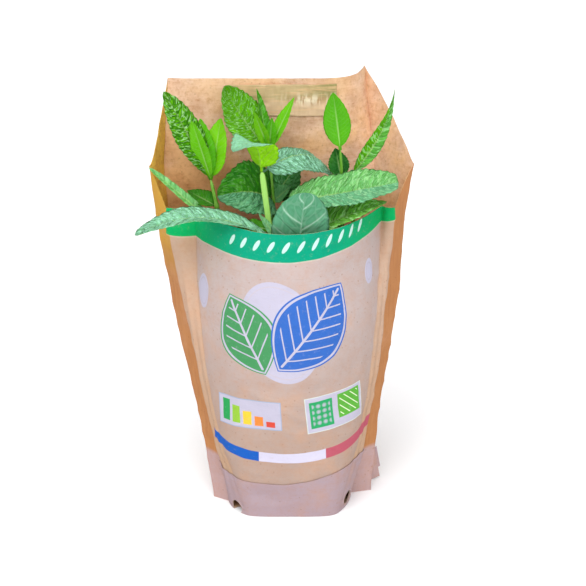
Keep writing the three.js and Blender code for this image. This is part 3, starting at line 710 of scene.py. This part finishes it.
wall = [(0, POT["floor"]), (POT["foot"] - 2 * MM, POT["floor"]), (POT["foot"], POT["floor"] + 1.5 * MM)]
for k, z in enumerate(np.linspace(STACKING["low"], STACKING["high"], STACKING["steps"])):
    wall.append((pot_radius(z) - STACKING["depth"] * (k % 2), z))
wall += [(pot_radius(POT["top"] + z * MM) + r * MM, POT["top"] + z * MM) for r, z in RIM_PROFILE]
wall += [(pot_radius(z) - POT["wall"] - 0.3 * MM, z) for z in np.linspace(86 * MM, 3 * MM, 16)]
wall += [(0, POT["floor"] + POT["wall"])]
pot = placed("pot", turned(wall, POT_SEGMENTS, POT["x"]))
drains = []
for k in range(DRAIN["count"]):
    turn = 2 * math.pi * k / DRAIN["count"]
    at = (POT["x"] + DRAIN["ring"] * math.cos(turn), DRAIN["ring"] * math.sin(turn), POT["floor"])
    drains.append(cutter(DRAIN["radius"], 8 * MM, 24, at))
pot_mesh = cut_through(pot, drains, math.radians(40))
for bar in drains:
    bpy.data.objects.remove(bar)


def pot_finish():
    finish, wire, spot = new_finish("taupe plastic")
    cloud, grain = spot.noise(40, 5, 0.6), spot.noise(700, 3, 0.6)
    dust = spot.noise(90, 6, 0.7).rise(0.5, 0.75)
    colour = cloud.tint((98, 78, 62), (122, 98, 80))
    colour = (dust * 0.5).tint(colour, (70, 52, 38))
    return coated(finish, wire, surface(wire, colour, 0.42 + dust * 0.3, grain + cloud * 2, 0.15, 0.3 * MM))


piece_of("taupe_pot", pot_mesh, "nursery_pot", "pot_plastic", pot_finish())


# ---- Compost ------------------------------------------------------------------------------------------
# Moist peat compost fills the pot to a finger below its rim. Its top is lumpy, strewn with crumbs and a few
# pale grains of perlite.

SOIL = {"height": 82 * MM, "low": 2.4 * MM, "gap": 1.6 * MM, "bump": 1.2 * MM}
CRUMBS = {"Crumbs per square metre": 260000.0, "Crumb": 1.1 * MM, "Seed": 11}
SOIL_LUMPS = [(12 * MM, 2), (4 * MM, 5)]  # the size of the broad and the small ones, and their noise's layer


def soil_top(x, y):
    broad, small = [noise.noise(Vector((x / size, y / size, layer))) for size, layer in SOIL_LUMPS]
    return SOIL["height"] - 0.6 * MM + SOIL["bump"] * 0.8 * (broad + 0.6 * small)


edge = pot_radius(SOIL["height"]) - SOIL["gap"]
fill = [(0, SOIL["low"]), (pot_radius(SOIL["low"]) - SOIL["gap"], SOIL["low"])]
fill += [(edge, SOIL["height"] - 3 * MM)]
fill += [(edge * share, SOIL["height"]) for share in np.linspace(0.98, 0.02, 40)] + [(0, SOIL["height"])]
soil_mesh = turned(fill, 120, POT["x"])
for point in soil_mesh.vertices:
    if point.co.z > SOIL["height"] - 1 * MM:
        point.co.z = soil_top(point.co.x, point.co.y)


def new_tree(name, kinds):
    """An empty tree of geometry nodes with named inputs, as a wire to add its nodes with, and its inputs."""
    tree = bpy.data.node_groups.new(name, "GeometryNodeTree")
    for key, kind in kinds.items():
        tree.interface.new_socket(key, in_out="INPUT", socket_type="NodeSocket" + kind)
    tree.interface.new_socket("Made", in_out="OUTPUT", socket_type="NodeSocketGeometry")
    wire = Wire(tree)
    inputs = wire.node("NodeGroupInput").socket.node.outputs
    return tree, wire, {socket.name: Wire(tree, socket) for socket in inputs}


def crumb_tree():
    """Scatters crumbs over the faces that look up."""
    kinds = {"Fill": "Geometry", "Crumbs per square metre": "Float", "Crumb": "Float", "Seed": "Int"}
    tree, wire, given = new_tree("compost crumbs", {**kinds, "Finish": "Material"})
    _, _, up = wire.node("GeometryNodeInputNormal").parts()
    _, _, high = wire.node("GeometryNodeInputPosition").parts()
    density = given["Crumbs per square metre"] * up.rise(0.3, 0.6) * high.rise(76 * MM, 78 * MM)
    seed = {"Seed": given["Seed"]}
    spread = {"Mesh": given["Fill"], "Density": density, **seed}
    spread = wire.node("GeometryNodeDistributePointsOnFaces", spread)
    span = {"Min": 0.25, "Max": 1, **seed}
    size = wire.node("FunctionNodeRandomValue", span, data_type="FLOAT_VECTOR")
    turn = wire.node("FunctionNodeRandomValue", {"Max": 6.28, **seed}, data_type="FLOAT_VECTOR")
    ball = wire.node("GeometryNodeMeshIcoSphere", {"Radius": given["Crumb"], "Subdivisions": 1})
    shape = {"Points": spread, "Instance": ball, "Rotation": turn, "Scale": size}
    crumbs = wire.node("GeometryNodeInstanceOnPoints", shape)
    crumbs = wire.node("GeometryNodeRealizeInstances", {0: crumbs})
    both = wire.node("GeometryNodeJoinGeometry", {0: [given["Fill"], crumbs]})
    done = wire.node("GeometryNodeSetMaterial", {"Geometry": both, "Material": given["Finish"]})
    wire.node("NodeGroupOutput", {0: done})
    return tree


def grown(name, mesh, tree, values):
    """The mesh that a tree of nodes makes of a sketch, with its named inputs set."""
    sketch = placed(name, mesh)
    grow = sketch.modifiers.new(tree.name, "NODES")
    grow.node_group = tree
    for socket in tree.interface.items_tree:
        if socket.in_out == "INPUT" and socket.name in values:
            grow[socket.identifier] = values[socket.name]
    return evaluated(sketch)


def soil_finish():
    finish, wire, spot = new_finish("moist compost")
    clod, grit = spot.noise(120, 6, 0.7), spot.noise(900, 4, 0.7)
    strand = spot.stretched(900, 120, 500).noise(1, 3)
    colour = clod.rise(0.3, 0.7).tint((40, 26, 18), (84, 58, 38))
    colour = (strand.rise(0.55, 0.75) * 0.5).tint(colour, (128, 92, 58))
    pale = wire.node("ShaderNodeTexVoronoi", {"Vector": spot, "Scale": 150}).rise(0.12, 0.06)
    colour = (pale * grit.rise(0.5, 0.6)).tint(colour, (214, 208, 196))
    return coated(finish, wire, surface(wire, colour, 0.92, grit + clod * 2, 0.8, MM))


soil_mesh = grown("fill", soil_mesh, crumb_tree(), {**CRUMBS, "Finish": soil_finish()})
soil_mesh.shade_smooth()
piece_of("peat_compost", soil_mesh, "compost", "compost")


# ---- Mint ---------------------------------------------------------------------------------------------
# Seven shoots of spearmint grow out of the compost and lean out over the bag's rim. Each has a square stem
# and toothed leaves with a sunken net of veins, whose upper side is darker and bumpier than the underside.

SOIL_TOP = 82
ROOT = 60  # where the stems start, inside the compost
STEM = {"step": 1.2, "knot": 0.4, "knot_reach": 2.2, "fade": 1.6}
STALK_SHARE = 0.06
BLADE = {"Columns": 25, "Rows": 108, "Thickness": 0.35 * MM}
LEAF = {
    "sag": 0, "fold": 14, "twist": 0, "teeth": 10, "tooth": 0.035, "point": 0.74, "taper": 0.85, "wave": 0.06,
    "veins": 8, "quilt": 0.5, "look": (0.4, 0.2, 0.3), "lean": 0, "net": (1, 0.6), "bow": 0,
}
SMOOTH = {"fold": 8, "tooth": 0.015, "quilt": 0.12, "wave": 0.02}
ROUND = {"fold": 5, "tooth": 0.012, "point": 1.2, "taper": 0.5, "veins": 4, "quilt": 0.3, "wave": 0.03}


def leaf(node, tip, width, face, **form):
    """A leaf from its node to its tip, where it differs from the usual one. face is the way its upper side
    looks, sag how far it arches that way, bow how far it bends sideways and fold how far its halves rise from
    the rib. look is how bright it is, how much painted pale sky reflection lies over its upper side, and how
    grey beneath it is. net is how fine its quilting is and how deep the painted shade in its hollows is. lean
    is how much painted sky reflection lies on one of its halves, its sign choosing which."""
    return {**LEAF, "node": node, "tip": tip, "width": width, "face": face, **form}


# A pair is two like leaves on opposite sides of a node: the node, how far they are turned, their length and
# width, and how steeply they rise.
SHOOTS = {
    "left": {
        "foot": (-26, 2),
        "nodes": [(-33, 2, 125), (-40, 2, 160), (-43.3, 2, 177), (-46.3, 2, 192.5), (-49.7, 5, 208.1)],
        "stem": (0.45, 0.5), "girth": (2.2, 1.45),
        "pairs": [(0, 95, 34, 19, 25), (1, 0, 24, 15, 30)],
        "leaves": [
            leaf(4, (-75.9, -4, 265.3), 19, (0.45, -0.85, 0.1), sag=2, teeth=13, veins=13, quilt=1,
                 look=(0.8, 0, 0.2), point=1.05, taper=0.7, net=(1.2, 1)),
            leaf(4, (-59.5, -6, 248), 12, (-0.3, -0.95, 0), teeth=7, fold=20, look=(0.75, 0, 0),
                 quilt=0.2, point=0.85, taper=0.65),
            leaf(4, (-55.7, 9, 245.4), 12, (0.3, -0.95, 0), look=(0.5, 0, 0), quilt=0.2, point=0.85,
                 taper=0.7),
            leaf(4, (-43.5, 16, 243.7), 17, (-0.4, -0.9, 0.1), tooth=0.02, look=(0.95, 0, 0), quilt=0.2,
                 taper=0.7),
            leaf(2, (-86.6, 2, 216.6), 7, (-0.2, -0.5, 0.8), fold=30, point=0.9, taper=0.5,
                 look=(0.9, 0.35, 0.1), lean=0.2),
            leaf(3, (-64.9, 14, 198.5), 13, (0, -0.5, 0.85), look=(0.15, 0, 0.3)),
        ],
    },
    "back": {
        "foot": (-10, 14),
        "nodes": [(-10, 13, 136), (-11, 10, 168), (-11.9, 8, 194), (-14.5, 12, 224.9)],
        "stem": (0.4, 0.55), "girth": (1.65, 1.1),
        "pairs": [(0, 0, 26, 16, 35), (1, 80, 20, 14, 40)],
        "leaves": [
            leaf(3, (-40.9, 10, 265), 26, (0.35, -0.85, 0.3), sag=-6, teeth=12, point=0.85, taper=0.6,
                 veins=11, quilt=0.55, look=(0.8, 0, 0.2), net=(1.3, 0.6)),
            leaf(3, (-21.9, 17, 261.8), 9, (0.8, -0.6, 0), fold=25, look=(0.3, 0, 0.2)),
            leaf(3, (-23.2, 5, 250.5), 8, (-0.3, -0.9, 0.2), teeth=6, look=(0.9, 0, 0), quilt=0.2),
            leaf(3, (-12.6, 8, 246.3), 8, (0.2, -0.9, 0.2), teeth=6, look=(0.45, 0, 0), quilt=0.2),
            leaf(3, (0.8, 16, 256.7), 9, (-0.5, -0.8, 0.2), fold=20, look=(0.75, 0, 0), quilt=0.2),
            leaf(2, (-45.4, -8, 202), 40, (-0.2, -0.7, 0.7), sag=8, teeth=12, tooth=0.03, taper=0.6,
                 veins=7, quilt=1.3, look=(0.12, 0, 0.5), lean=-0.75, net=(1.2, 0.8)),
            leaf(2, (4, 13, 216), 26, (-0.1, -0.6, 0.7), sag=2, veins=6, quilt=1.1, look=(0.14, 0.2, 0.5),
                 net=(1, 1)),
            leaf(2, (-1, 0, 206), 11, (-0.2, -0.7, 0.7), teeth=6, look=(0.3, 0.4, 0.5)),
        ],
    },
    "middle": {
        "foot": (-9, -12),
        "nodes": [(-10, -18, 116), (-12, -24, 165), (-13.9, -26, 188), (-18.2, -20, 221)],
        "stem": (1, 0), "girth": (2.2, 2.5),
        "pairs": [(0, 60, 24, 15, 30)],
        "leaves": [
            leaf(3, (-34.5, -37, 238.4), 31, (0.15, 0.25, 0.92), sag=11.5, fold=8, twist=-9, tooth=0.03,
                 look=(0.6, 0.95, 0), quilt=0.4, point=0.68, taper=0.7),
            leaf(3, (23.6, 4, 211.9), 24, (0.1, -0.4, 0.9), sag=12, bow=3, teeth=13, taper=0.45, veins=9,
                 quilt=1, look=(0.35, 1, 0.45), fold=-16, net=(1.25, 0.75)),
            leaf(2, (-33, -29, 190), 12, (0, -0.5, 0.85), look=(0.2, 0, 0.3)),
        ],
    },
    "upright": {
        "foot": (20, 2),
        "nodes": [(24, 0, 118), (28, -4, 170), (29.1, -6, 212), (28, -8, 230.7)],
        "stem": (0.65, 0), "girth": (1.65, 1.1),
        "pairs": [(0, 110, 28, 17, 25), (1, 100, 18, 12, 35)],
        "leaves": [
            leaf(3, (23.4, -6, 265.2), 16.5, (-0.1, -1, 0.1), sag=-2, **SMOOTH, point=0.8, taper=0.75,
                 veins=14, look=(0.3, 0, 0)),
            leaf(2, (25.5, 6, 228), 13, (0, -0.9, 0.3), look=(0, 0.05, 0.3), quilt=0.7, net=(1, 1)),
        ],
    },
    "right": {
        "foot": (30, 16),
        "nodes": [(36, 12, 140), (37, 8, 180), (33.8, 4, 210)],
        "stem": (0.6, 0), "girth": (1.7, 1.15),
        "pairs": [(0, 120, 20, 12, 35)],
        "leaves": [
            leaf(2, (59.6, -6, 267.4), 10, (-0.5, -0.8, 0.2), sag=-6, bow=-2.5, twist=70, teeth=14,
                 look=(0.7, 0, 0.2), lean=0.2, quilt=0.6, point=0.6, taper=1.3, net=(1.4, 0.6)),
        ],
    },
    "spreading": {
        "foot": (12, -10),
        "nodes": [(6, -14, 146), (-3, -21, 176), (-6.5, -21, 202)],
        "stem": (0.5, 0.3), "girth": (1.9, 1.25),
        "pairs": [(0, -55, 22, 14, 30)],
        "leaves": [
            leaf(2, (62, -23, 215.6), 27, (0, -0.5, 0.85), teeth=16, point=1, taper=0.3, veins=9,
                 quilt=1.2, look=(0.7, 0.35, 0.4), lean=0.8, net=(1.5, 0.45)),
            leaf(1, (55.2, -27, 204.8), 22, (-0.2, -0.35, 0.9), sag=3, teeth=12, taper=0.7, quilt=0.9,
                 look=(0.9, 0.15, 0.3), net=(1.3, 0.3)),
        ],
    },
    "front": {
        "foot": (2, -27),
        "nodes": [(1, -32, 106), (1, -37, 160), (-6, -37.5, 181)],
        "stem": (0.6, 0.1), "girth": (1.9, 1.25),
        "pairs": [(0, 0, 26, 17, 25)],
        "leaves": [
            leaf(1, (6.9, -46, 216.9), 34.5, (-0.15, 0.9, 0.35), **ROUND, look=(0.3, 0.3, 1)),
            leaf(2, (-93.2, -32, 186), 19, (0, 0.05, 1), sag=14, teeth=16, twist=-25, point=1.15,
                 taper=0.5, veins=11, quilt=1.2, look=(0.45, 1, 0.3), net=(1.5, 0.6)),
            leaf(2, (-20, -34, 200), 6, (0.3, -0.6, 0.4), teeth=5, look=(0.6, 0.6, 0)),
        ],
    },
}


def vein_field(wire, u, v, count, slant, seed, cells, fineness):
    """Where a point lies along the leaf, out from the rib, between veins, in their net, on a crest or dip."""
    b = ((u - STALK_SHARE) / (1 - STALK_SHARE)).at_least(0)
    far = abs(v)
    other_half = v.rise(-0.001, 0.001) * 0.3
    lane = (b - slant * far * (0.7 + far * 0.3)) * count + seed + other_half
    cell = lane % 1
    spot = wire.node("ShaderNodeCombineXYZ", {0: lane * 1.3, 1: far * cells, 2: seed * 3 + other_half})
    sizes = {"Vector": spot, "Scale": fineness * 1.4}
    net = wire.node("ShaderNodeTexVoronoi", sizes, feature="DISTANCE_TO_EDGE")
    swell = (spot * (1.6, 0.6, 1)).noise(fineness * 1.05, 1, 0.4)
    return b, far, cell, net, (swell - 0.55).near(0.1), (swell - 0.41).near(0.1)


def shoot_tree():
    """Grows a shoot from its sketch: a point for each leaf, and a line for the stem."""
    kinds = {"Sketch": "Geometry", "Columns": "Int", "Rows": "Int", "Thickness": "Float"}
    tree, wire, given = new_tree("mint shoot", {**kinds, "Leaf": "Material", "Stem": "Material"})

    def kept(name, kind="FLOAT_VECTOR"):
        return wire.node("GeometryNodeInputNamedAttribute", {"Name": name}, data_type=kind)

    # A flat blade of two sheets, each point keeping its place across, along and through it.
    size = {"Size X": 2, "Size Y": 1, "Vertices X": given["Columns"], "Vertices Y": given["Rows"]}
    x, y, _ = wire.node("GeometryNodeInputPosition").parts()
    sheets = []
    for skin in (1, -1):
        sheet = wire.node("GeometryNodeMeshGrid", size)
        if skin < 0:
            sheet = wire.node("GeometryNodeFlipFaces", {"Mesh": sheet})
        place = wire.node("ShaderNodeCombineXYZ", {0: x * (0.6 + abs(x) * 0.4), 1: y + 0.5, 2: skin})
        stored = {"Geometry": sheet, "Name": "blade", "Value": place}
        sheets.append(wire.node("GeometryNodeStoreNamedAttribute", stored, data_type="FLOAT_VECTOR"))
    blade = wire.node("GeometryNodeJoinGeometry", {0: sheets})
    split = wire.node("GeometryNodeSeparateGeometry", {0: given["Sketch"], 1: kept("leafy", "FLOAT")})
    points = Wire(tree, split.socket.node.outputs["Selection"])
    stem_line = Wire(tree, split.socket.node.outputs["Inverted"])
    many = wire.node("GeometryNodeInstanceOnPoints", {"Points": points, "Instance": blade})
    flat = wire.node("GeometryNodeRealizeInstances", {0: many})

    v, u, skin = kept("blade").parts()
    half_width, sag, fold = kept("form").parts()
    twist, teeth, tooth = kept("edge").parts()
    point, taper, wave = kept("outline").parts()
    count, slant, quilt = kept("veins").parts()
    _, seed, cells = kept("mark").parts()
    fineness, _, bow = kept("net").parts()
    reach, face = kept("reach"), kept("face")
    b, far, cell, net, crest, dip = vein_field(wire, u, v, count, slant, seed, cells, fineness)
    length = wire.sum("LENGTH", reach, output=1)
    ahead = reach / length
    sideways = wire.sum("CROSS_PRODUCT", face, ahead)
    share = wire.sum("SINE", b**point * math.pi).at_least(0) ** taper
    step = (b * teeth) % 1
    saw = (step / 0.76).at_most((1 - step) / 0.24) * 2 - 1
    rim = far.rise(0.62, 1)
    half = half_width * (share + tooth * saw * rim * (share * 3).at_most(1))
    half = half.at_least(0.95 * MM - b * 0.85 * MM)
    lean = wire.sum("ARCTAN2", sag * 4 * (1 - u * 2), length)
    level = face * wire.sum("COSINE", lean) - ahead * wire.sum("SINE", lean)
    turn = twist * u
    sine, cosine = wire.sum("SINE", turn), wire.sum("COSINE", turn)
    side, normal = sideways * cosine + level * sine, level * cosine - sideways * sine
    rib = far * half
    groove = rib.near(1.7 * MM) * (1 - b)
    bulge = wire.sum("SINE", cell * math.pi).at_least(0) ** 0.6 * 0.4
    bulge = bulge + net.rise(0, 0.3) * 0.4 + (crest - dip) * 0.2
    relief = quilt * (bulge - 0.55) * share.rise(0.05, 0.4) * (1 - rim * 0.5) - groove * 0.5 * MM
    ripple = wave * half * wire.sum("SINE", (b * 2.3 + seed) * 6.28 + v) * far * far
    thick = given["Thickness"] * 0.5 * (1 - far**6) * u.rise(0, 0.015) * (1 - u.rise(0.985, 1))
    ridge = (skin - 1) * 0.5 * groove * 0.9 * MM
    lift = rib * wire.sum("SINE", fold) + relief + ripple + (skin * thick) + ridge * u.rise(0, 0.015)
    arch = (face * sag + sideways * bow) * (4 * u * (1 - u)) + ahead * (seed * 0.3 * MM * (1 - u))
    place = kept("base") + reach * u + arch + side * (v * half * wire.sum("COSINE", fold)) + normal * lift
    leaves = wire.node("GeometryNodeSetPosition", {"Geometry": flat, "Position": place})
    leaves = wire.node("GeometryNodeMergeByDistance", {"Geometry": leaves, "Distance": 0.01 * MM})
    leaves = wire.node("GeometryNodeSetMaterial", {"Geometry": leaves, "Material": given["Leaf"]})

    square = wire.node("GeometryNodeCurvePrimitiveQuadrilateral", {"Width": 1.41, "Height": 1.41})
    square = wire.node("GeometryNodeFilletCurve", {"Curve": square, "Count": 3, "Radius": 0.3}, mode="POLY")
    line = wire.node("GeometryNodeMeshToCurve", {0: stem_line})
    sweep = {"Curve": line, "Profile Curve": square, "Scale": kept("thick", "FLOAT"), "Fill Caps": True}
    stem = wire.node("GeometryNodeCurveToMesh", sweep)
    stem = wire.node("GeometryNodeSetMaterial", {"Geometry": stem, "Material": given["Stem"]})
    wire.node("NodeGroupOutput", {0: wire.node("GeometryNodeJoinGeometry", {0: [leaves, stem]})})
    return tree


def leaf_finish():
    """Green above and paler beneath, with pale veins sunk in the upper side and raised on the underside."""
    finish, wire, spot = new_finish("mint leaf")

    v, u, skin = wire.kept("blade")
    count, slant, quilt = wire.kept("veins")
    bright, sky_sheen, under = wire.kept("look")
    lean, seed, cells = wire.kept("mark")
    (half_width, _, _), (fineness, shade_depth, _) = wire.kept("form"), wire.kept("net")
    b, far, cell, net, crest, dip = vein_field(wire, u, v, count, slant, seed, cells, fineness)
    cloud, grain = spot.noise(70, 4, 0.6), spot.noise(900, 3, 0.6)
    above, below = skin.rise(-0.3, 0.3), 1 - skin.rise(-0.3, 0.3)
    quilted = quilt.rise(0.1 * MM, 0.8 * MM)
    rib = (far * half_width).near(0.8 * MM) * (1 - b * 0.8).at_least(0)
    lateral = ((cell - 0.5).at_least(0.5 - cell) - 0.5).near(0.08) * (1 - far.rise(0.75, 1))
    fine = 1 - net.rise(0.02, 0.1)
    bulge = net.rise(0.02, 0.2) * (0.7 + cell.rise(0, 0.5) * (1 - cell.rise(0.5, 1)) * 0.3)
    # painted reflection: a pale bluish sky sheen over the upper side, stronger on the bulges
    painted_sky_sheen = (sky_sheen * (0.75 + bulge * 0.25)).at_most(0.95)
    # painted reflection: a pale bluish sky sheen on one half of the leaf, the half chosen by the sign of lean
    painted_sheen_half = ((1 - v.rise(-0.02, 0.02)) * lean + (v.rise(-0.02, 0.02) * lean).at_most(0) * -1).at_least(0)
    # painted shade: darker green in the hollows, dips and lateral veins of the quilting on the upper side
    painted_hollow_shade = (1 - bulge) * 0.35 + dip * 0.6 + lateral * 0.3
    # painted highlights: pale glints on the crests of the quilting
    painted_glint = crest.rise(0.35, 1) * quilted * (0.05 + bright * 0.7) * (1 - sky_sheen)
    upper = layered(
        bright.rise(0, 0.5).tint((30, 118, 24), (92, 190, 10)),
        ((bright - 0.5).rise(0, 0.5), (124, 206, 0)),
        (cloud.rise(0.35, 0.7) * 0.3, (110, 196, 6)),
        (painted_sky_sheen, (172, 236, 206)),
        (painted_sheen_half.at_most(0.9), (130, 204, 162)),
        ((painted_hollow_shade * quilted * shade_depth).at_least(0).at_most(0.85), (16, 96, 22)),
        (painted_glint.at_most(0.7), (196, 244, 180)),
    )
    lower = under.tint((168, 248, 10), (98, 166, 130))
    murk = (1 - net.rise(0.05, 0.3)) * under * 0.45 + cloud.rise(0.4, 0.7) * under * 0.3
    lower = murk.tint(lower, (70, 140, 104))
    colour = above.tint(lower, upper)
    pale = above.tint(under.tint((190, 230, 110), (176, 216, 190)), (190, 230, 140))
    colour = (rib * 0.8).tint(colour, pale)
    drawn = (lateral * (0.16 + below * 0.6) + fine * (0.08 + below * 0.1)) * (1 - above * quilted)
    colour = drawn.at_least(0).tint(colour, pale)
    knobs = net.rise(0, 0.5) * 0.5 + (crest - dip) * 0.5
    relief = knobs * (0.15 + quilted) - (lateral * 0.4 + rib * 0.6) * skin * (0.25 + quilted) + grain * 0.08
    blade = surface(wire, colour, 0.4 + cloud * 0.2, relief, 0.85, 0.9 * MM, shine=0.14)
    return coated(finish, wire, blade, glow=(134, 204, 0), share=0.27)


def stem_finish():
    finish, wire, spot = new_finish("mint stem")
    pale, brown, _ = wire.kept("stem")
    _, _, z = spot.parts()
    cloud, ribs = spot.noise(90, 4, 0.6), spot.stretched(1500, 1500, 60).noise(1, 3)
    colour = pale.tint((84, 148, 10), (146, 202, 92))
    woody = brown * (1 - z.rise(150 * MM, 205 * MM)) + cloud.rise(0.45, 0.7) * brown * 0.5
    colour = woody.at_most(1).tint(colour, (132, 84, 50))
    colour = (ribs.rise(0.4, 0.7) * 0.3).tint(colour, (172, 206, 110))
    return coated(finish, wire, surface(wire, colour, 0.42 + cloud * 0.2, ribs + cloud, 0.4, 0.3 * MM))


def stem_path(foot, nodes, girth):
    """Points along a smooth line from the root through the nodes, and how thick the stem is at each."""
    line = [(*foot, ROOT), (*foot, ROOT + 11), (*foot, SOIL_TOP + 6), *nodes]
    line = np.array(line, float)
    legs = np.linalg.norm(np.diff(line, axis=0), axis=1)
    knots = np.concatenate([[0], np.cumsum(np.sqrt(legs))])
    at = np.linspace(0, knots[-1], int(legs.sum() / STEM["step"]))
    path = through(knots, line, at)
    way = np.concatenate([[0], np.cumsum(np.linalg.norm(np.diff(path, axis=0), axis=1))])
    half = girth[0] + (girth[1] - girth[0]) * way / way[-1]
    for node in nodes[:-1]:
        away = np.linalg.norm(path - node, axis=1) / STEM["knot_reach"]
        half = half * (1 + STEM["knot"] * np.exp(-away * away))
    return path, half * (1 - 0.6 * np.exp((way - way[-1]) / STEM["fade"]))


def leaf_row(leaf, nodes, k):
    """Everything that the tree needs to know about one leaf, in metres and radians."""
    base = np.array(nodes[leaf["node"]], float)
    reach = np.array(leaf["tip"], float) - base
    length = np.linalg.norm(reach)
    face = np.array(leaf["face"], float)
    face -= reach * (face @ reach) / length**2
    half = leaf["width"] / 2
    seed = (k * 0.377 + leaf["width"] * 0.13) % 1
    slant = 0.75 * half / length
    return {
        "base": base * MM,
        "reach": reach * MM,
        "face": face / np.linalg.norm(face),
        "form": (half * MM, leaf["sag"] * MM, math.radians(leaf["fold"])),
        "edge": (math.radians(leaf["twist"]), leaf["teeth"], leaf["tooth"]),
        "outline": (leaf["point"], leaf["taper"], leaf["wave"]),
        "veins": (leaf["veins"], slant, leaf["quilt"] * MM),
        "look": leaf["look"],
        "mark": (leaf["lean"], seed, half * leaf["veins"] / length * 1.3),
        "net": (*leaf["net"], leaf["bow"] * MM),
        "stem": (0, 0, 0),
    }


def paired(pair, nodes):
    node, turn, length, width, rise = pair
    lift = math.radians(rise)
    for heading in (math.radians(turn), math.radians(turn + 180)):
        ahead = (math.cos(lift) * math.cos(heading), math.cos(lift) * math.sin(heading), math.sin(lift))
        tip = [place + length * way for place, way in zip(nodes[node], ahead)]
        yield leaf(node, tip, width, (0, 0, 1), sag=2, look=(0.2, 0.1, 0.3))


grow_shoot, leaf_green, stem_green = shoot_tree(), leaf_finish(), stem_finish()
for name, shoot in SHOOTS.items():
    leaves = shoot["leaves"] + [leaf for pair in shoot["pairs"] for leaf in paired(pair, shoot["nodes"])]
    table = [leaf_row(leaf, shoot["nodes"], k) for k, leaf in enumerate(leaves)]
    path, half = stem_path(shoot["foot"], shoot["nodes"], shoot["girth"])
    stored = {key: np.array([row[key] for row in table] + [(0, 0, 0)] * len(path)) for key in table[0]}
    stored["stem"][len(table) :] = (*shoot["stem"], 0)
    sketch = mesh_of("sketch", [row["base"] for row in table] + list(path * MM), [], **stored)
    sketch.edges.add(len(path) - 1)
    first = len(table)
    ends = [(first + i, first + i + 1) for i in range(len(path) - 1)]
    sketch.edges.foreach_set("vertices", np.array(ends).ravel())
    marks = {"leafy": [1] * first + [0] * len(path), "thick": [0] * first + list(half * MM)}
    for key, values in marks.items():
        sketch.attributes.new(key, "FLOAT", "POINT").data.foreach_set("value", values)
    mesh = grown("sketch", sketch, grow_shoot, {**BLADE, "Leaf": leaf_green, "Stem": stem_green})
    mesh.shade_smooth()
    greens = [leaf_green, stem_green]
    kinds = [greens.index(mesh.materials[face.material_index]) for face in mesh.polygons]
    piece_of("mint_" + name, mesh, "mint_shoot_" + name, "mint", *greens)
    mesh.polygons.foreach_set("material_index", kinds)


# ---- Studio -------------------------------------------------------------------------------------------
# A pale floor that runs out of sight, soft light from all round, a large softbox and the camera.

FLOOR_HALF = 3
FLOOR_COLOUR = (245.814, 245.814, 246.987)
square = [(x * FLOOR_HALF, y * FLOOR_HALF, 0) for x, y in ((-1, -1), (1, -1), (1, 1), (-1, 1))]
floor = placed("floor", mesh_of("floor", square, [(0, 1, 2, 3)]))
pale_floor, wire, _ = new_finish("pale floor")
floor.data.materials.append(coated(pale_floor, wire, surface(wire, FLOOR_COLOUR, 0.8, shine=0.1)))

world = bpy.data.worlds.new("studio")
world.use_nodes = True
world.node_tree.nodes["Background"].inputs["Color"].default_value = (1, 1, 1, 1)
world.node_tree.nodes["Background"].inputs["Strength"].default_value = 0.66
bpy.context.scene.world = world


def softbox(name, place, size, power):
    light = bpy.data.lights.new(name, "AREA")
    light.shape, light.size, light.energy = "DISK", size, power
    lamp = placed(name, light)
    lamp.location = place
    lamp.rotation_euler = (Vector((0, 0, 0.12)) - Vector(place)).to_track_quat("-Z", "Y").to_euler()


softbox("key", (-0.5, -1.1, 1.3), 0.7, 5)
for name, energy, spread, way in (("sky", 2.0, 50, (0.12, 0.5, -0.9)), ("window", 1.0, 60, (-0.45, 1, -0.3))):
    sun = placed(name, bpy.data.lights.new(name, "SUN"))
    sun.data.energy, sun.data.angle = energy, math.radians(spread)
    sun.rotation_euler = Vector(way).to_track_quat("-Z", "Y").to_euler()

LENS = {"mm": 94.1, "sensor": 36, "distance": 0.95, "elevation": math.radians(22), "aim": 0.1363}
camera = placed("camera", bpy.data.cameras.new("camera"))
camera.data.lens, camera.data.sensor_width = LENS["mm"], LENS["sensor"]
back_off, lift = [LENS["distance"] * f(LENS["elevation"]) for f in (math.cos, math.sin)]
camera.location = (0, -back_off, LENS["aim"] + lift)
camera.rotation_euler = (math.pi / 2 - LENS["elevation"], 0, 0)
bpy.context.scene.camera = camera
bpy.context.scene.view_settings.view_transform = "Standard"
